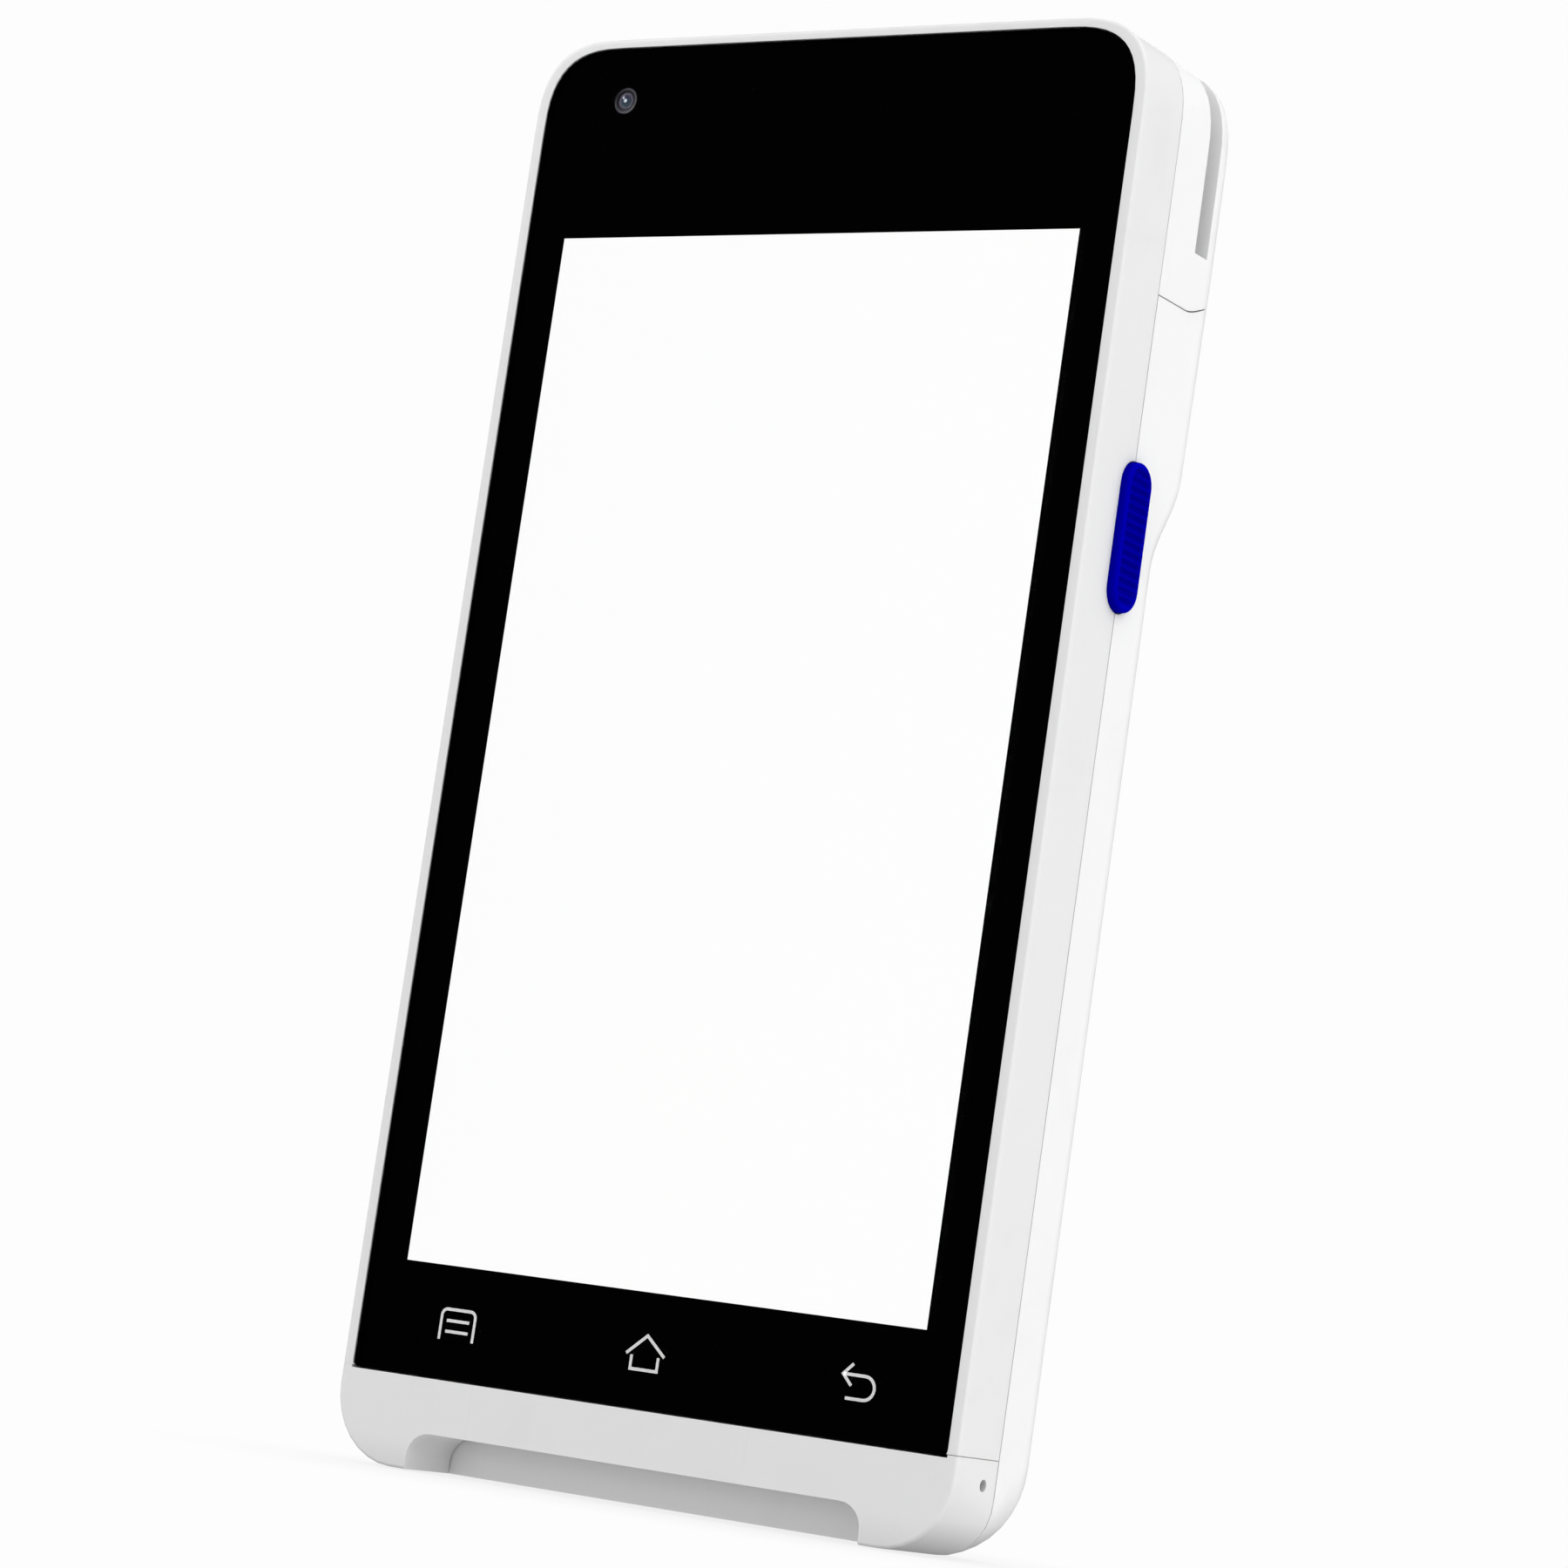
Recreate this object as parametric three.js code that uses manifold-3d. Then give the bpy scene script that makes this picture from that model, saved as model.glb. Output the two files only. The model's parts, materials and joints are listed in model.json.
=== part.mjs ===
// A handheld card payment terminal: a touch screen in a white casing, with a notch in its foot where a chip
// card goes in, a swipe slot through the top of its back, a scan key on its side, and the works inside.
// Millimetres. x runs across, y runs back from the front face, z runs up from the foot.
import * as THREE from "three";
import { mergeVertices } from "three/addons/utils/BufferGeometryUtils.js";
import Module from "manifold-3d";

// Casing, outside
const HALF_WIDTH = 40.4;
const HEIGHT = 164.8;
const DEPTH = 22.1;
const LOWER_DEPTH = 17.35;
const FRONT_ROUNDING = 0.35;
const REAR_ROUNDING = 3.5;
const TOP_CORNER = { front: 11.1, rear: 12.1, power: 3 };
const FOOT_CORNER = { front: 8.5, seam: 6, rear: 10, rearFrom: 15.2 };
const STEP = { foot: 107.2, head: 118.6 };
const HUMP_LEAN = { drop: 0.6, head: 141 };
const WALL = 1.8;
const BACK_WALL = 2.35;

// Where the casing splits, and the laps that close each split from inside
const SEAM_Y = 8.5;
const HALF_SEAM = 0.07;
const CHIN_Z = 10.55;
const SPLIT = { z: 136.1, riseFrom: 14.6, riseTo: 21.6, rise: 1.8 };
const LAP = { inset: 0.75, reach: 0.8, gap: 0.15 };
const FAR = 50;

// Screen stack
const GLASS = { halfWidth: 39, foot: 10.3, top: 163.7, corner: 10, footCorner: 0.8, front: 0.04, back: 1.14 };
const GLASS_GAP = 0.08;
const LEDGE = { front: 1.25, back: 2.6, halfWidth: 37.4, foot: 12.6, top: 161.6, radius: 8 };
const PANEL = { halfWidth: 35.4, foot: 20.5, top: 144.5, front: 1.6, back: 2.4 };
const BACKLIGHT_BACK = 3.9;
const ANTENNA = { halfWidth: 37.1, foot: 14.5, top: 149, band: 1.3, radius: 7, front: 1.3, back: 1.5 };
const MIDFRAME = { halfWidth: 35.6, foot: 13.4, top: 153, front: 4.2, back: 5 };

// Card notch and chip card reader
const NOTCH = { halfWidth: 29.8, ceiling: 4.17, radius: 2.8 };
const CHIN_CEILING = 1.4;
const CARD_SLIT = { halfWidth: 27.6, front: 5.8, back: 7.2 };
const CHIP_READER = { halfWidth: 28.8, foot: 6.2, top: 56, front: 5.4, back: 8.2, channelTop: 52 };
const SIDE_HOLE = { y: 5.9, z: 7.83, diameter: 1.3 };
const WEB = { back: 9.9, top: 6.2 };

// Swipe slot and magnetic head
const SLOT = { front: 15.2, back: 18.07, floor: 142.7 };
const SLOT_WALL = 1.5;
const HEAD = { halfWidth: 5.5, foot: 148.9, top: 157.9, front: 10, shoulder: 13.9, crown: 15.55 };
const HEAD_CLEARANCE = 0.5;

// Battery bay and its door
const BAY = { halfWidth: 30.6, foot: 11, top: 97, floor: 10.1 };
const BAY_WALL = { side: 1.6, floor: 0.8 };
const BATTERY_CLEARANCE = 0.5;
const BATTERY_SEAT = 0.2;
const BATTERY_TOP = 93.8;
const BATTERY_BACK = 15.4;
const DOOR = { halfWidth: 35.7, foot: 8.2, top: 99.8, front: 16.3, radius: 3.8, gap: 0.2 };
const DOOR_SCOOP = { z: 18, radius: 16, depth: 0.7 };

// Keys
const SCAN_KEY = { y: 8.7, z: 109.3, width: 5.2, length: 16.4, crown: 41.4, ribs: 16, ribHeight: 0.28 };
const POWER_KEY = { y: 5.3, z: 124, width: 2.8, length: 10, crown: -41.2 };
const VOLUME_ROCKER = { y: 5.3, z: 104, width: 2.8, length: 18, crown: -41.2 };
const KEY_GAP = 0.15;
const KEY_FLANGE = { outer: 38.3, inner: 37.5, overhang: 0.6 };
const KEY_EDGE = { height: 0.35, inset: 0.5, overlap: 0.01 };

// Electronics
const BOARD = { halfWidth: 31, foot: 66, top: 152, front: 5.6, back: 6.6 };
const ON_BOARD = BOARD.back + 0.06;
const BOARD_TONGUE = { right: 36.2, foot: 103, top: 115, overlap: 1 };
const SHIELD_SKIN = 0.3;
const COIN_CELL = { x: -20, z: 84, diameter: 12.5, thickness: 1.6 };
const SCAN_SWITCH = { left: 33.6, right: 36.2, back: 10.6, foot: 105.4, top: 113.2, plunger: 2, tip: 36.7 };
const SIDE_SWITCHES = {
  ...{ outer: -36.8, inner: -36.1, depth: [3.4, 7.2], height: [94, 130] },
  ...{ dome: 2.4, domeTop: -37, at: [99, 109, POWER_KEY.z] },
};
const READER_COVER = { halfWidth: 28.4, depth: [5.08, 5.32], margin: 0.4 };
const CARD_CHANNEL = { clearance: 0.3, depth: [5.9, 7.1] };
const CONTACT_WINDOW = { halfWidth: 8, front: 6.5, foot: 28, top: 44, clearance: 0.3 };
const CONTACTS = {
  ...{ depth: [7.14, 8.2], middle: 36, row: 3.8, halfLength: 1.4, pitch: 2.54, perRow: 4 },
  ...{ y: 7.2, diameter: 1 },
};
const BATTERY_CONTACTS = {
  ...{ halfWidth: 8, back: 14, foot: 94.8, at: [-5, -1.7, 1.7, 5] },
  ...{ halfBlade: 0.5, bladeDepth: [11, 13], bladeHeight: [94.1, 95] },
};
const HEAD_SPRING = { halfWidth: 15, foot: 151.5, top: 155.3, radius: 1.2, depth: [9, 9.3] };
const MICROPHONE = { across: [36.9, 38.3], depth: [4.9, 6.9], half: 1.1 };
const FRONT_CAMERA = {
  x: -28.04,
  z: 157.35,
  ...{ lens: 2.4, lensDepth: [1.2, 1.44] },
  ...{ barrel: 4.6, front: 1.5, shoulder: 3.2, body: 6.4, back: 5.2 },
};
const REAR_CAMERA = {
  x: -20,
  z: 127.5,
  ...{ hole: 9.4, aperture: 7 },
  ...{ halfBody: 4.6, front: 13, shoulder: 17, barrel: 6, back: 20.6 },
};
const FLASH = { x: -8, z: 127.5, hole: 4.4, aperture: 3, lamp: 1.6, depth: [17.2, 18.8] };
const SPEAKER = {
  x: 21,
  z: 127.5,
  ...{ halfWidth: 9, halfHeight: 6.5, depth: [14.5, 18.6], meshDepth: [18.75, 18.95] },
  ...{ slots: 6, slotWidth: 1, slotLength: 9, slotPitch: 2.2 },
};
const USB = {
  ...{ halfWidth: 4.5, halfDepth: 1.55, y: 5.3, width: 3.3, foot: 155.8, top: 162.9 },
  ...{ skin: 0.3, back: 0.8, tongue: 3.3, tongueDepth: 0.35, tongueHeight: [0.5, 6] },
};
const USB_FLAT = 0.05; // half of the flat left between the round corners at each end
const WINDOW = { front: 20.85, back: 21.6 };

// Screws
const HOUSING_SCREW = { x: 33.4, z: [16, 93], seat: 14.9, tip: 6, column: 4.6 };
const READER_SCREW = { x: 33, z: 149, seat: 4.1, tip: 11.5, column: 4.4 };
const BOARD_SCREW = { x: 27, z: [70, 148], length: 1.4, seat: 0.05 };
const SCREW = {
  ...{ head: 3.2, headHeight: 1.1, headSide: 0.6, headCrown: 0.45, shank: 1.6 },
  ...{ driveDepth: 0.55, driveRadius: 0.75, driveBar: 0.2 },
};
const COUNTERBORE = 3.7;
const SHANK_HOLE = 2;

const CORNER_STEPS = 12;
const FOOT_STEPS = 8;
const ROUND_STEPS = 6;
const ARC_STEPS = 3;
const HOLE_STEPS = 20;
const EYE_STEPS = 24;
const JOINED = 0.1; // how far a boss or a wall runs into its neighbour before they are joined
const QUARTER = Math.PI / 2;
const around = (middle, half) => [middle - half, middle + half];

// ---- Solids and booleans ----

const wasm = await Module();
wasm.setup();

// A closed geometry as a manifold solid whose faces point out.
function solid(geometry) {
  const bare = geometry.index ? geometry.toNonIndexed() : geometry.clone();
  bare.deleteAttribute("normal");
  bare.deleteAttribute("uv");
  const merged = mergeVertices(bare, 1e-4);
  const corners = new Uint32Array(merged.index.array);
  const build = () =>
    new wasm.Manifold(
      new wasm.Mesh({
        numProp: 3,
        vertProperties: merged.attributes.position.array,
        triVerts: corners,
      }),
    );
  const made = build();
  if (made.volume() > 0) return made;
  for (let i = 0; i < corners.length; i += 3)
    [corners[i + 1], corners[i + 2]] = [corners[i + 2], corners[i + 1]];
  return build();
}

function toGeometry(made) {
  const mesh = made.getMesh();
  const points = new Float32Array(mesh.numVert * 3);
  for (let i = 0; i < mesh.numVert; i++)
    points.set(mesh.vertProperties.subarray(i * mesh.numProp, i * mesh.numProp + 3), i * 3);
  const geometry = new THREE.BufferGeometry();
  geometry.setAttribute("position", new THREE.BufferAttribute(points, 3));
  geometry.setIndex(new THREE.BufferAttribute(mesh.triVerts, 1));
  geometry.computeVertexNormals();
  return geometry;
}

const join = (first, ...others) => others.reduce((sum, next) => sum.add(next), first);
const cut = (first, ...tools) => tools.reduce((left, tool) => left.subtract(tool), first);

// A box between two limits on each axis.
function block([x0, x1], [y0, y1], [z0, z1]) {
  const geometry = new THREE.BoxGeometry(x1 - x0, y1 - y0, z1 - z0);
  return solid(geometry.translate((x0 + x1) / 2, (y0 + y1) / 2, (z0 + z1) / 2));
}

// A cylinder along one axis ("x", "y" or "z"), from one value to another on that axis.
function rod(axis, diameter, [from, to], centre, steps = HOLE_STEPS) {
  const geometry = new THREE.CylinderGeometry(diameter / 2, diameter / 2, to - from, steps);
  if (axis === "x") geometry.rotateZ(QUARTER);
  if (axis === "z") geometry.rotateX(QUARTER);
  const place = { x: 0, y: 0, z: 0, ...centre };
  place[axis] = (from + to) / 2;
  return solid(geometry.translate(place.x, place.y, place.z));
}

// A shape drawn in x and z, made solid from one depth y to another.
function plate(shape, [front, back]) {
  const options = { depth: back - front, bevelEnabled: false, curveSegments: ARC_STEPS };
  return solid(new THREE.ExtrudeGeometry(shape, options).rotateX(QUARTER).translate(0, back, 0));
}

// A shape drawn in y (across) and z (up), made solid along x.
function sidePlate(shape, [from, to]) {
  const options = { depth: to - from, bevelEnabled: false, curveSegments: ARC_STEPS };
  const turn = new THREE.Matrix4().makeBasis(
    new THREE.Vector3(0, 1, 0),
    new THREE.Vector3(0, 0, 1),
    new THREE.Vector3(1, 0, 0),
  );
  return solid(new THREE.ExtrudeGeometry(shape, options).applyMatrix4(turn).translate(from, 0, 0));
}

// A rectangle with four round corners.
function roundedRectangle([x0, x1], [z0, z1], radius) {
  const shape = new THREE.Shape();
  shape.absarc(x1 - radius, z0 + radius, radius, -QUARTER, 0);
  shape.absarc(x1 - radius, z1 - radius, radius, 0, QUARTER);
  shape.absarc(x0 + radius, z1 - radius, radius, QUARTER, 2 * QUARTER);
  shape.absarc(x0 + radius, z0 + radius, radius, 2 * QUARTER, 3 * QUARTER);
  return shape;
}

// A slab with round ends around a centre, long on the second axis.
function stadium(across, along, width, length) {
  const half = width / 2;
  return roundedRectangle(
    [across - half, across + half],
    [along - length / 2, along + length / 2],
    half * 0.999,
  );
}

// A closed solid through rings of points. Each ring is one flat loop with the same number of points.
function loft(rings, flatten) {
  const clockwise = THREE.ShapeUtils.area(rings[0].map(flatten)) < 0;
  const loops = clockwise ? rings.map((ring) => [...ring].reverse()) : rings;
  const count = loops[0].length;
  const index = [];
  for (let ring = 0; ring + 1 < loops.length; ring++)
    for (let i = 0; i < count; i++) {
      const here = ring * count + i;
      const next = ring * count + ((i + 1) % count);
      index.push(here, next, next + count, here, next + count, here + count);
    }
  const last = (loops.length - 1) * count;
  for (const [a, b, c] of THREE.ShapeUtils.triangulateShape(loops[0].map(flatten), []))
    index.push(a, c, b);
  for (const [a, b, c] of THREE.ShapeUtils.triangulateShape(loops.at(-1).map(flatten), []))
    index.push(last + a, last + b, last + c);
  const geometry = new THREE.BufferGeometry().setFromPoints(loops.flat());
  return solid(geometry.setIndex(index));
}

// ---- The casing's outside form ----

const mix = (from, to, share) => from + (to - from) * Math.min(1, Math.max(0, share));

function topCorner(y) {
  return mix(TOP_CORNER.front, TOP_CORNER.rear, (y - SEAM_Y) / (DEPTH - SEAM_Y));
}

function footCorner(y) {
  if (y < SEAM_Y) return mix(FOOT_CORNER.front, FOOT_CORNER.seam, y / SEAM_Y);
  const share = (y - SEAM_Y) / (FOOT_CORNER.rearFrom - SEAM_Y);
  return mix(FOOT_CORNER.seam, FOOT_CORNER.rear, share);
}

// A loop with round foot corners and softer top corners, the same on both sides of the middle.
function softLoop(halfWidth, [foot, top], footRadius, topRadius, footSteps) {
  const right = [];
  for (let i = 0; i <= footSteps; i++) {
    const angle = (QUARTER * i) / footSteps;
    const across = footRadius * (1 - Math.sin(angle));
    right.push([halfWidth - across, foot + footRadius * (1 - Math.cos(angle))]);
  }
  for (let i = 0; i <= CORNER_STEPS; i++) {
    const angle = (QUARTER * i) / CORNER_STEPS;
    const across = Math.max(0, Math.cos(angle)) ** (2 / TOP_CORNER.power);
    const up = Math.sin(angle) ** (2 / TOP_CORNER.power);
    right.push([halfWidth - topRadius * (1 - across), top - topRadius * (1 - up)]);
  }
  const left = right.map(([x, z]) => [-x, z]).reverse();
  return [...right, ...left];
}

// The casing's outline at a depth, seen from the front.
function outline(y, inset = 0) {
  const ends = [inset, HEIGHT - inset];
  return softLoop(HALF_WIDTH - inset, ends, footCorner(y) - inset, topCorner(y) - inset, FOOT_STEPS);
}

const ringAt = (y, inset) => outline(y, inset).map(([x, z]) => new THREE.Vector3(x, y, z));

// The outer form of the front parts, from their small front rounding back to the seam.
function frontForm(...middle) {
  const rounding = [0, 30, 60, 90].map((degrees) => {
    const angle = THREE.MathUtils.degToRad(degrees);
    return ringAt(FRONT_ROUNDING * (1 - Math.cos(angle)), FRONT_ROUNDING * (1 - Math.sin(angle)));
  });
  const rest = [...middle, SEAM_Y - HALF_SEAM].map((y) => ringAt(y, 0));
  return loft([...rounding, ...rest], seenFromFront);
}
const shapeOf = (points) => new THREE.Shape(points.map(([x, z]) => new THREE.Vector2(x, z)));
const seenFromFront = (p) => new THREE.Vector2(p.x, p.z);
const seenFromAbove = (p) => new THREE.Vector2(p.x, p.y);

// Half the casing's width at a depth and a height.
function halfWidthAt(y, z, inset) {
  const wide = HALF_WIDTH - inset;
  const top = topCorner(y) - inset;
  const foot = footCorner(y) - inset;
  const above = (z - (HEIGHT - inset - top)) / top;
  const below = (inset + foot - z) / foot;
  if (above > 0) return wide - top + top * Math.cbrt(Math.max(0, 1 - above ** TOP_CORNER.power));
  if (below > 0) return wide - foot + foot * Math.sqrt(Math.max(0, 1 - below ** 2));
  return wide;
}

// How deep the casing is at a height, with round foot and top edges.
function backAt(z, inset) {
  const step = (z - STEP.foot) / (STEP.head - STEP.foot);
  const lean = (HUMP_LEAN.drop * Math.max(0, HUMP_LEAN.head - z)) / (HUMP_LEAN.head - STEP.head);
  const hump = DEPTH - Math.min(HUMP_LEAN.drop, lean);
  const rise = (1 - Math.cos(Math.PI * Math.min(1, Math.max(0, step)))) / 2;
  const rounding = REAR_ROUNDING - inset;
  const fromEnd = Math.min(z - inset, HEIGHT - inset - z);
  const short = Math.max(0, 1 - fromEnd / rounding);
  const drop = rounding * (1 - Math.sqrt(Math.max(0, 1 - short ** 2)));
  return mix(LOWER_DEPTH, hump, rise) - inset - drop;
}

// A level slice of the rear casing, from a front depth to its back, with round rear edges.
function slice(z, front, inset = 0, extraBack = 0) {
  const back = backAt(z, inset) - extraBack;
  const rounding = REAR_ROUNDING - inset;
  const right = [];
  const sideSteps = 4;
  for (let i = 0; i < sideSteps; i++) {
    const y = mix(front, back - rounding, i / sideSteps);
    right.push([halfWidthAt(y, z, inset), y]);
  }
  for (let i = 0; i <= ROUND_STEPS; i++) {
    const angle = (QUARTER * i) / ROUND_STEPS;
    const y = back - rounding + rounding * Math.sin(angle);
    right.push([halfWidthAt(y, z, inset) - rounding * (1 - Math.cos(angle)), y]);
  }
  const left = right.map(([x, y]) => [-x, y]).reverse();
  return [...right, ...left].map(([x, y]) => new THREE.Vector3(x, y, z));
}

const FOOT_LEVELS = Array.from({ length: 10 }, (_, i) => 10.2 * (1 - Math.cos((QUARTER * i) / 9)));
const STEP_LEVELS = Array.from({ length: 11 }, (_, i) => mix(STEP.foot, STEP.head, i / 10));
const TOP_LEVELS = Array.from({ length: CORNER_STEPS + 1 }, (_, i) => {
  const up = Math.sin((QUARTER * i) / CORNER_STEPS) ** (2 / TOP_CORNER.power);
  return HEIGHT - TOP_CORNER.rear + TOP_CORNER.rear * up;
});

// ---- Nodes ----

const material = (color, roughness, metalness = 0) =>
  new THREE.MeshStandardMaterial({ color, roughness, metalness });

const terminal = new THREE.Group();
const casing = new THREE.Group();
casing.position.y = -DEPTH / 2;
terminal.add(casing);

function place(name, made, finish, position = [0, 0, 0]) {
  const mesh = new THREE.Mesh(made.isBufferGeometry ? made : toGeometry(made), finish);
  mesh.name = name;
  mesh.position.set(...position);
  casing.add(mesh);
}

const WHITE = { color: 0xf2f2f2, roughness: 0.45 };
const white = () => material(WHITE.color, WHITE.roughness);
const both = [-1, 1];

const keyHole = (key, reach) =>
  sidePlate(stadium(key.y, key.z, key.width + 2 * KEY_GAP, key.length + 2 * KEY_GAP), reach);
const scanKeyHole = keyHole(SCAN_KEY, [HALF_WIDTH - WALL - 1, HALF_WIDTH + 1]);

// The lap along the seam: a thin wall on the front parts that stands into a rebate in the rear parts.
const lapInside = shapeOf(outline(SEAM_Y, WALL));
function seamLap() {
  const reach = [SEAM_Y - 0.3, SEAM_Y + LAP.reach];
  const outside = shapeOf(outline(SEAM_Y, LAP.inset));
  return cut(plate(outside, reach), plate(lapInside, [reach[0] - 1, reach[1] + 1]));
}
function seamRebate() {
  const shape = shapeOf(outline(SEAM_Y, LAP.inset - LAP.gap));
  return plate(shape, [SEAM_Y - 1, SEAM_Y + LAP.reach + LAP.gap]);
}

// The lap that closes the split beside the chin, on each side wall.
function chinLaps(gap) {
  const outer = HALF_WIDTH - LAP.inset + gap;
  const inner = HALF_WIDTH - WALL - gap;
  return both.map((side) =>
    block(
      [Math.min(side * inner, side * outer), Math.max(side * inner, side * outer)],
      [LEDGE.back - gap, SEAM_Y - HALF_SEAM - 0.2 + gap],
      [CHIN_Z - LAP.reach - gap, CHIN_Z + 0.3],
    ),
  );
}

// Front frame: the rim round the glass and the front half of the sides, down to the chin.
function frontFrame() {
  const glass = glassOutline(GLASS_GAP);
  const leftReach = [-HALF_WIDTH - 1, -HALF_WIDTH + WALL + 1];
  const usbShape = roundedRectangle(
    [-USB.halfWidth - KEY_GAP, USB.halfWidth + KEY_GAP],
    [USB.y - USB.width / 2, USB.y + USB.width / 2],
    USB.width / 2 - 0.01,
  );
  const usbHole = solid(
    new THREE.ExtrudeGeometry(usbShape, { depth: 6, bevelEnabled: false, curveSegments: ARC_STEPS }),
  ).translate([0, 0, HEIGHT - 5]);
  const hollow = cut(
    plate(shapeOf(outline(SEAM_Y / 2, WALL)), [LEDGE.back, SEAM_Y + 1]),
    block([-FAR, FAR], [0, MIDFRAME.front - 0.2], [0, LEDGE.foot]),
  );
  const belowSplit = block([-FAR, FAR], [-1, SEAM_Y + 2], [-1, CHIN_Z + HALF_SEAM]);
  return cut(
    join(cut(join(frontForm(), seamLap()), belowSplit), ...chinLaps(0)),
    plate(glass, [-1, LEDGE.front]),
    plate(
      roundedRectangle([-LEDGE.halfWidth, LEDGE.halfWidth], [LEDGE.foot, LEDGE.top], LEDGE.radius),
      [LEDGE.front - 1, LEDGE.back + 1],
    ),
    hollow,
    scanKeyHole,
    keyHole(POWER_KEY, leftReach),
    keyHole(VOLUME_ROCKER, leftReach),
    usbHole,
  );
}

// The cover glass's outline, or with a gap the opening that it lies in.
function glassOutline(gap = 0) {
  const ends = [GLASS.foot - gap, GLASS.top + gap];
  return shapeOf(softLoop(GLASS.halfWidth + gap, ends, GLASS.footCorner, GLASS.corner + gap, 4));
}

// Chin: the lower front cap with the notch for a chip card and the slit in the notch's ceiling.
function chin() {
  const notch = roundedRectangle(
    [-NOTCH.halfWidth, NOTCH.halfWidth],
    [-NOTCH.radius * 3, NOTCH.ceiling],
    NOTCH.radius,
  );
  const ceiling = NOTCH.ceiling + CHIN_CEILING;
  const hollow = plate(shapeOf(outline(SEAM_Y / 2, WALL)), [WALL, SEAM_Y + 1]);
  const besideNotch = NOTCH.halfWidth + WALL;
  const kept = block([-besideNotch, besideNotch], [0, SEAM_Y + 2], [-1, ceiling]);
  const lap = cut(seamLap(), block([-besideNotch, besideNotch], [0, SEAM_Y + 2], [-1, CHIN_Z]));
  return cut(
    join(frontForm(SEAM_Y / 2), lap),
    block([-FAR, FAR], [-1, SEAM_Y + 2], [CHIN_Z - HALF_SEAM, HEIGHT + 1]),
    ...chinLaps(LAP.gap),
    block(around(0, GLASS.halfWidth + JOINED), [-1, 2], [GLASS.foot - GLASS_GAP, 12]),
    plate(notch, [-1, SEAM_Y + 1]),
    cut(hollow, kept),
    block([-CARD_SLIT.halfWidth, CARD_SLIT.halfWidth], [CARD_SLIT.front, CARD_SLIT.back], [3, 7]),
    rod("x", SIDE_HOLE.diameter, [HALF_WIDTH - 4, HALF_WIDTH + 1], SIDE_HOLE, 16),
  );
}

// Everything above or below the split between rear cover and reader housing, moved up by an offset. The split
// is level at the sides and climbs a little towards the back.
function besideSplit(offset, end) {
  const steps = 8;
  const climb = Array.from({ length: steps + 1 }, (_, i) => [
    mix(SPLIT.riseFrom, SPLIT.riseTo, i / steps),
    SPLIT.z + offset + (SPLIT.rise * (1 - Math.cos((Math.PI * i) / steps))) / 2,
  ]);
  const line = [[0, SPLIT.z + offset], ...climb, [DEPTH + 1, SPLIT.z + offset + SPLIT.rise]];
  return sidePlate(shapeOf([...line, [DEPTH + 1, end], [0, end]]), [-FAR, FAR]);
}

// Rear cover: sides and back up to the reader housing, with the step, the battery bay and its columns.
function rearCover() {
  const front = SEAM_Y + HALF_SEAM;
  const top = SPLIT.z + SPLIT.rise;
  const levels = [...FOOT_LEVELS, ...STEP_LEVELS, (STEP.head + top) / 2, top];
  const body = loft(levels.map((z) => slice(z, front)), seenFromAbove);
  const innerLevels = [WEB.top, 7.4, 10.4, ...STEP_LEVELS, top + 1];
  const extra = BACK_WALL - WALL;
  const hollow = loft(innerLevels.map((z) => slice(z, SEAM_Y - 1, WALL, extra)), seenFromAbove);
  const lowPocket = block([-33, 33], [WEB.back, 13], [WALL, WEB.top + JOINED]);
  const tub = block(
    [-BAY.halfWidth - BAY_WALL.side, BAY.halfWidth + BAY_WALL.side],
    [BAY.floor - BAY_WALL.floor, LOWER_DEPTH - BACK_WALL + JOINED],
    [BAY.foot - BAY_WALL.side, BAY.top + BAY_WALL.side],
  );
  const besideNotch = NOTCH.halfWidth + WALL - LAP.gap;
  const sideRebate = cut(seamRebate(), block([-besideNotch, besideNotch], [0, DEPTH], [-1, WEB.top]));
  const columns = [];
  const bores = [];
  for (const side of both)
    for (const z of HOUSING_SCREW.z) {
      const at = { x: side * HOUSING_SCREW.x, z };
      columns.push(rod("y", HOUSING_SCREW.column, [front, LOWER_DEPTH - BACK_WALL + JOINED], at));
      bores.push(rod("y", SHANK_HOLE, [front - 1, LOWER_DEPTH], at));
      bores.push(rod("y", COUNTERBORE, [HOUSING_SCREW.seat - 0.1, LOWER_DEPTH + 1], at));
    }
  const slots = [];
  for (let i = 0; i < SPEAKER.slots; i++) {
    const x = SPEAKER.x + (i - (SPEAKER.slots - 1) / 2) * SPEAKER.slotPitch;
    slots.push(plate(stadium(x, SPEAKER.z, SPEAKER.slotWidth, SPEAKER.slotLength), [18, DEPTH + 1]));
  }
  return cut(
    join(cut(body, hollow, lowPocket, sideRebate), tub, ...columns),
    besideSplit(-HALF_SEAM, HEIGHT),
    block([-BAY.halfWidth, BAY.halfWidth], [BAY.floor, DEPTH], [BAY.foot, BAY.top]),
    plate(
      roundedRectangle(
        [-DOOR.halfWidth - DOOR.gap, DOOR.halfWidth + DOOR.gap],
        [DOOR.foot - DOOR.gap, DOOR.top + DOOR.gap],
        DOOR.radius + DOOR.gap,
      ),
      [DOOR.front - 0.05, DEPTH],
    ),
    ...bores,
    ...slots,
    ...[REAR_CAMERA, FLASH].flatMap((eye) => [
      rod("y", eye.hole, [WINDOW.front - 0.06, DEPTH + 1], eye),
      rod("y", eye.aperture, [17, DEPTH + 1], eye),
    ]),
    scanKeyHole,
  );
}

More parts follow.
